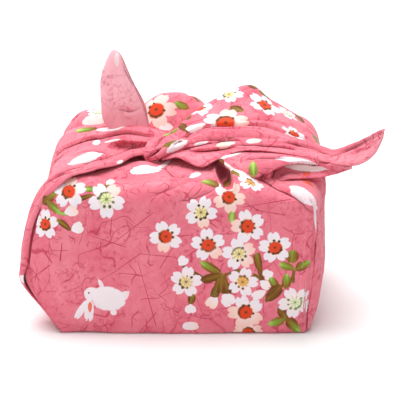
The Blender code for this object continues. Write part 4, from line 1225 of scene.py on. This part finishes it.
# Lightweight plain-weave cotton with a printed ground: matte, a little fuzzy at grazing angles,
# pink dyed unevenly, with hair-fine crimson lines like cracks in wax.
cottonSet = {
    "ground": ("#de697c", "#e98492"),
    "line": "#c03653",
    "tuft": "#cf4a66",
    # the wrong side's paler pink, also the tint of the painted light in dyedGround
    "wrongSide": "#fdc4cd",
    "creaseShadow": "#6d1526",
    "stitch": "#f6bcc6",
    # long lines: the way across them, mm between them, width in mm, and how rare
    "streaks": (((0.85, 0.3, 0.5), 23.0, 0.34, 0.49), ((-0.35, 0.3, 0.9), 19.0, 0.34, 0.48),
                ((0.6, -0.2, -0.8), 27.0, 0.38, 0.49), ((0.98, -0.3, -0.15), 31.0, 0.32, 0.47)),
    "cracks": ((13.0, 0.3, 0.5), (4.6, 0.24, 0.57)),  # cell mm, width mm, how rare
    "thread": 1.1,    # mm between threads: three times the real spacing, so that it shows at all
    "hem": 4.2,       # mm from the edge to the stitches
    "stitchLength": 2.6,
}


def newMaterial(name, **finish):
    material = bpy.data.materials.new(name)
    material.use_nodes = True
    shader = material.node_tree.nodes["Principled BSDF"]
    for key, value in finish.items():
        shader.inputs[key.replace("_", " ")].default_value = value
    return material, shader


def dyedGround(add, place, wrong):
    # mottled in two sizes
    broad = add("TexNoise", {}, place, Scale=1 / 13.0, Detail=3.0)
    fine = add("TexNoise", {}, place, Scale=1 / 2.2, Detail=2.0)
    mottle = add("Math", "MULTIPLY_ADD", fine, 0.45, broad)
    mottle = add("MapRange", {}, mottle, 0.5, 0.95, 0.0, 1.0)
    ground, pale = cottonSet["ground"]
    colour = add("Mix", mixColour, mottle, slots={6: ground, 7: pale}, out=2)
    # painted light: paler towards the tail's end, and on the turned corner's wrong side palest high up,
    # standing in for the light that falls on them
    away = add("SeparateXYZ", {}, place).node
    if wrong:
        paintedLight = add("MapRange", {}, away.outputs[2], 92.0, 114.0, 0.1, 0.8)
    else:
        paintedLight = add("MapRange", {}, away.outputs[0], 78.0, 98.0, 0.0, 0.28)
    return add("Mix", mixColour, paintedLight, slots={6: colour, 7: cottonSet["wrongSide"]}, out=2)


def crackle(add, place):
    # long lines that cross, and small cells between them, each broken up by its own noise
    bend = add("TexNoise", {}, place, Scale=1 / 30.0, Detail=2.0, out=1)
    bend = add("VectorMath", "SCALE", bend, Scale=30.0)
    bent = add("VectorMath", "ADD", place, bend)
    cracks = 0.0
    for index, (way, gap, width, rare) in enumerate(cottonSet["streaks"]):
        line = add("Math", "PINGPONG", add("VectorMath", "DOT_PRODUCT", bent, way, out=1), gap / 2)
        line = add("MapRange", {}, line, width, 0.3 * width, 0.0, 1.0)
        shift = add("VectorMath", "ADD", place, (70.0 * index, 20.0, 55.0 * index))
        patch = add("TexNoise", {}, shift, Scale=1 / 14.0, Detail=2.0)
        patch = add("MapRange", {}, patch, rare, rare + 0.08, 0.0, 1.0)
        cracks = add("Math", "MAXIMUM", cracks, add("Math", "MULTIPLY", line, patch))
    for index, (cell, width, rare) in enumerate(cottonSet["cracks"]):
        edge = add("TexVoronoi", {"feature": "DISTANCE_TO_EDGE"}, bent, Scale=1 / cell)
        line = add("MapRange", {}, edge, width / cell, 0.35 * width / cell, 0.0, 1.0)
        shift = add("VectorMath", "ADD", place, (90.0 * index, 40.0, 7.0))
        patch = add("TexNoise", {}, shift, Scale=0.55 / cell + 0.02, Detail=1.0)
        patch = add("MapRange", {}, patch, rare, rare + 0.07, 0.0, 1.0)
        cracks = add("Math", "MAXIMUM", cracks, add("Math", "MULTIPLY", line, patch))
    return cracks


def tufts(add, place):
    # feathery clusters of the same crimson
    tuft = add("TexNoise", {}, place, Scale=1 / 2.4, Detail=4.0, Roughness=0.65)
    tuft = add("MapRange", {}, tuft, 0.5, 0.64, 0.0, 0.75)
    patch = add("TexNoise", {}, place, Scale=1 / 17.0, Detail=1.0)
    patch = add("MapRange", {}, patch, 0.47, 0.6, 0.0, 1.0)
    return add("Math", "MULTIPLY", tuft, patch)


def printedMotifs(add, place, colour, groups):
    # strokes first; a wobble roughens their outlines as printing does
    wobble = add("TexNoise", {}, place, Scale=1 / 1.8, Detail=1.0, out=1)
    wobble = add("VectorMath", "SUBTRACT", wobble, (0.5, 0.5, 0.5))
    for kind, count in printSet["layers"].items():
        for index in range(count):
            own = add("Attribute", {"attribute_name": f"{kind}{index}"}, out=1)
            shake = add("VectorMath", "SCALE", wobble, Scale=printSet["wobble"][kind])
            motif = add("Group", {"node_tree": groups[kind]}, own, shake).node.outputs
            colour = add("Mix", mixColour, motif["Mask"], slots={6: colour, 7: motif["Color"]}, out=2)
    return colour


def weaveAndStitches(add):
    threads = add("UVMap", {"uv_map": "threads"})
    split = add("SeparateXYZ", {}, threads).node
    wave = 2 * math.pi / cottonSet["thread"]
    warp = add("Math", "SINE", add("Math", "MULTIPLY", split.outputs[0], wave))
    weft = add("Math", "SINE", add("Math", "MULTIPLY", split.outputs[1], wave))
    weave = add("Math", "MULTIPLY", warp, weft)
    dash = add("Math", "FRACT", add("Math", "DIVIDE", split.outputs[1], cottonSet["stitchLength"]))
    dash = add("Math", "LESS_THAN", dash, 0.62)
    row = add("Math", "COMPARE", split.outputs[0], cottonSet["hem"], 0.28)
    return weave, add("Math", "MULTIPLY", add("Math", "MULTIPLY", dash, row), 0.2)


def creaseShadow(add):
    # the shadow deep in a crease, which a mesh this coarse can't hold by itself
    crease = add("Attribute", {"attribute_name": "crease"}, out=1)
    aside, dark, spread = add("SeparateXYZ", {}, crease).node.outputs
    low = add("Math", "MULTIPLY", spread, -1.0)
    slope = add("MapRange", {}, aside, low, 0.0, 0.0, 1.0)
    edge = add("MapRange", {}, aside, 0.45, 0.15, 0.0, 0.65)
    deep = add("Math", "MULTIPLY", slope, edge)
    core = add("MapRange", {}, add("Math", "ABSOLUTE", aside), 0.5, 0.15, 0.0, 1.0)
    return add("Math", "MULTIPLY", add("Math", "MAXIMUM", deep, core), dark)


def printedCotton(name, groups, wrong=False):
    material, shader = newMaterial(name, Roughness=0.88, Specular_IOR_Level=0.3, Sheen_Weight=0.12,
                                   Sheen_Roughness=0.5)
    add = partial(addNode, material.node_tree)
    place = add("TexCoord", {}, out=3)
    place = add("VectorMath", "SCALE", place, Scale=1000.0)  # mm
    colour = dyedGround(add, place, wrong)
    cracks = add("Math", "MULTIPLY", crackle(add, place), 0.3 if wrong else 0.8)
    for amount, tint in ((tufts(add, place), cottonSet["tuft"]), (cracks, cottonSet["line"])):
        colour = add("Mix", mixColour, amount, slots={6: colour, 7: tint}, out=2)
    colour = printedMotifs(add, place, colour, groups)
    if wrong:  # the print shows through the wrong side, paler
        colour = add("Mix", mixColour, 0.2, slots={6: colour, 7: cottonSet["wrongSide"]}, out=2)
    weave, stitch = weaveAndStitches(add)
    colour = add("Mix", mixColour, stitch, slots={6: colour, 7: cottonSet["stitch"]}, out=2)
    crumple = add("TexNoise", {}, place, Scale=1 / 3.6, Detail=3.0)
    height = add("Math", "SUBTRACT", add("Math", "MULTIPLY_ADD", weave, 0.1, crumple), stitch)
    bump = add("Bump", {}, Strength=0.5, Distance=0.0003, Height=height)
    deep = creaseShadow(add)
    colour = add("Mix", mixColour, deep, slots={6: colour, 7: cottonSet["creaseShadow"]}, out=2)
    material.node_tree.links.new(colour, shader.inputs["Base Color"])
    material.node_tree.links.new(bump, shader.inputs["Normal"])
    return material


def makeFloor():
    # matte white board, even and without shine
    mesh = bmesh.new()
    bmesh.ops.create_grid(mesh, x_segments=1, y_segments=1, size=stageSet["floor"])
    data = bpy.data.meshes.new("floor")
    mesh.to_mesh(data)
    mesh.free()
    data.materials.append(newMaterial("matteBoard", Base_Color=linearColour("#f6f6f6"), Roughness=0.9)[0])
    addObject("floor", data)


def makeLight(name, place, aim, size, power, spread):
    data = bpy.data.lights.new(name, "AREA")
    data.spread = math.radians(spread)
    data.shape = "DISK"
    data.size = size
    data.energy = power
    light = addObject(name, data)
    light.location = place
    light.rotation_euler = (Vector(aim) - Vector(place)).to_track_quat("-Z", "Y").to_euler()


def makeCamera():
    data = bpy.data.cameras.new("camera")
    data.lens = cameraSet["lens"]
    data.sensor_width = cameraSet["sensor"]
    camera = addObject("camera", data)
    tilt = math.radians(cameraSet["elevation"])
    target = Vector(cameraSet["target"]) * millimetre
    back = Vector((0, -math.cos(tilt), math.sin(tilt)))
    camera.location = target + back * cameraSet["distance"] * millimetre
    camera.rotation_euler = (-back).to_track_quat("-Z", "Y").to_euler()
    bpy.context.scene.camera = camera


def makeWorld():
    world = bpy.data.worlds.new("studio")
    world.use_nodes = True
    background = world.node_tree.nodes["Background"]
    background.inputs["Color"].default_value = linearColour("#ffffff")
    background.inputs["Strength"].default_value = stageSet["skyStrength"]
    bpy.context.scene.world = world
    bpy.context.scene.view_settings.view_transform = "Standard"


# in metres: half the floor's width; then each light's place, aim, size, watts and spread
stageSet = {
    "floor": 6.0,
    "skyStrength": 0.5,
    "lights": {
        "topLight": ((-0.22, 0.1, 1.0), (0, 0, 0.05), 0.9, 11, 180),
        "frontFill": ((0.0, -1.2, 0.6), (0, 0, 0.05), 1.2, 2.1, 180),
        "backFill": ((0.0, 1.5, 1.2), (0, 1.1, 0), 1.6, 9, 90),
    },
}

print("making the wrap")
pieces = [makeWrap()]
print("making the arms, tail and horn")
for name, settings in fanSets.items():
    pieces.append(makeFan(name, settings))
print("printing the cotton")
printCloth(pieces)
groups = {"blossom": blossomGroup(), "stroke": strokeGroup()}
rightSide = printedCotton("printedCotton", groups)
wrongSide = printedCotton("printedCottonWrongSide", groups, wrong=True)
for piece in pieces:  # the horn is a corner turned so that it shows the cloth's wrong side
    piece.data.materials.append(wrongSide if piece.name == "horn" else rightSide)
    piece.data.materials.append(wrongSide)
    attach(piece, "root")
    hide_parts("furoshiki_cloth")

print("setting the stage")
makeFloor()
for name, settings in stageSet["lights"].items():
    makeLight(name, *settings)
makeWorld()
makeCamera()
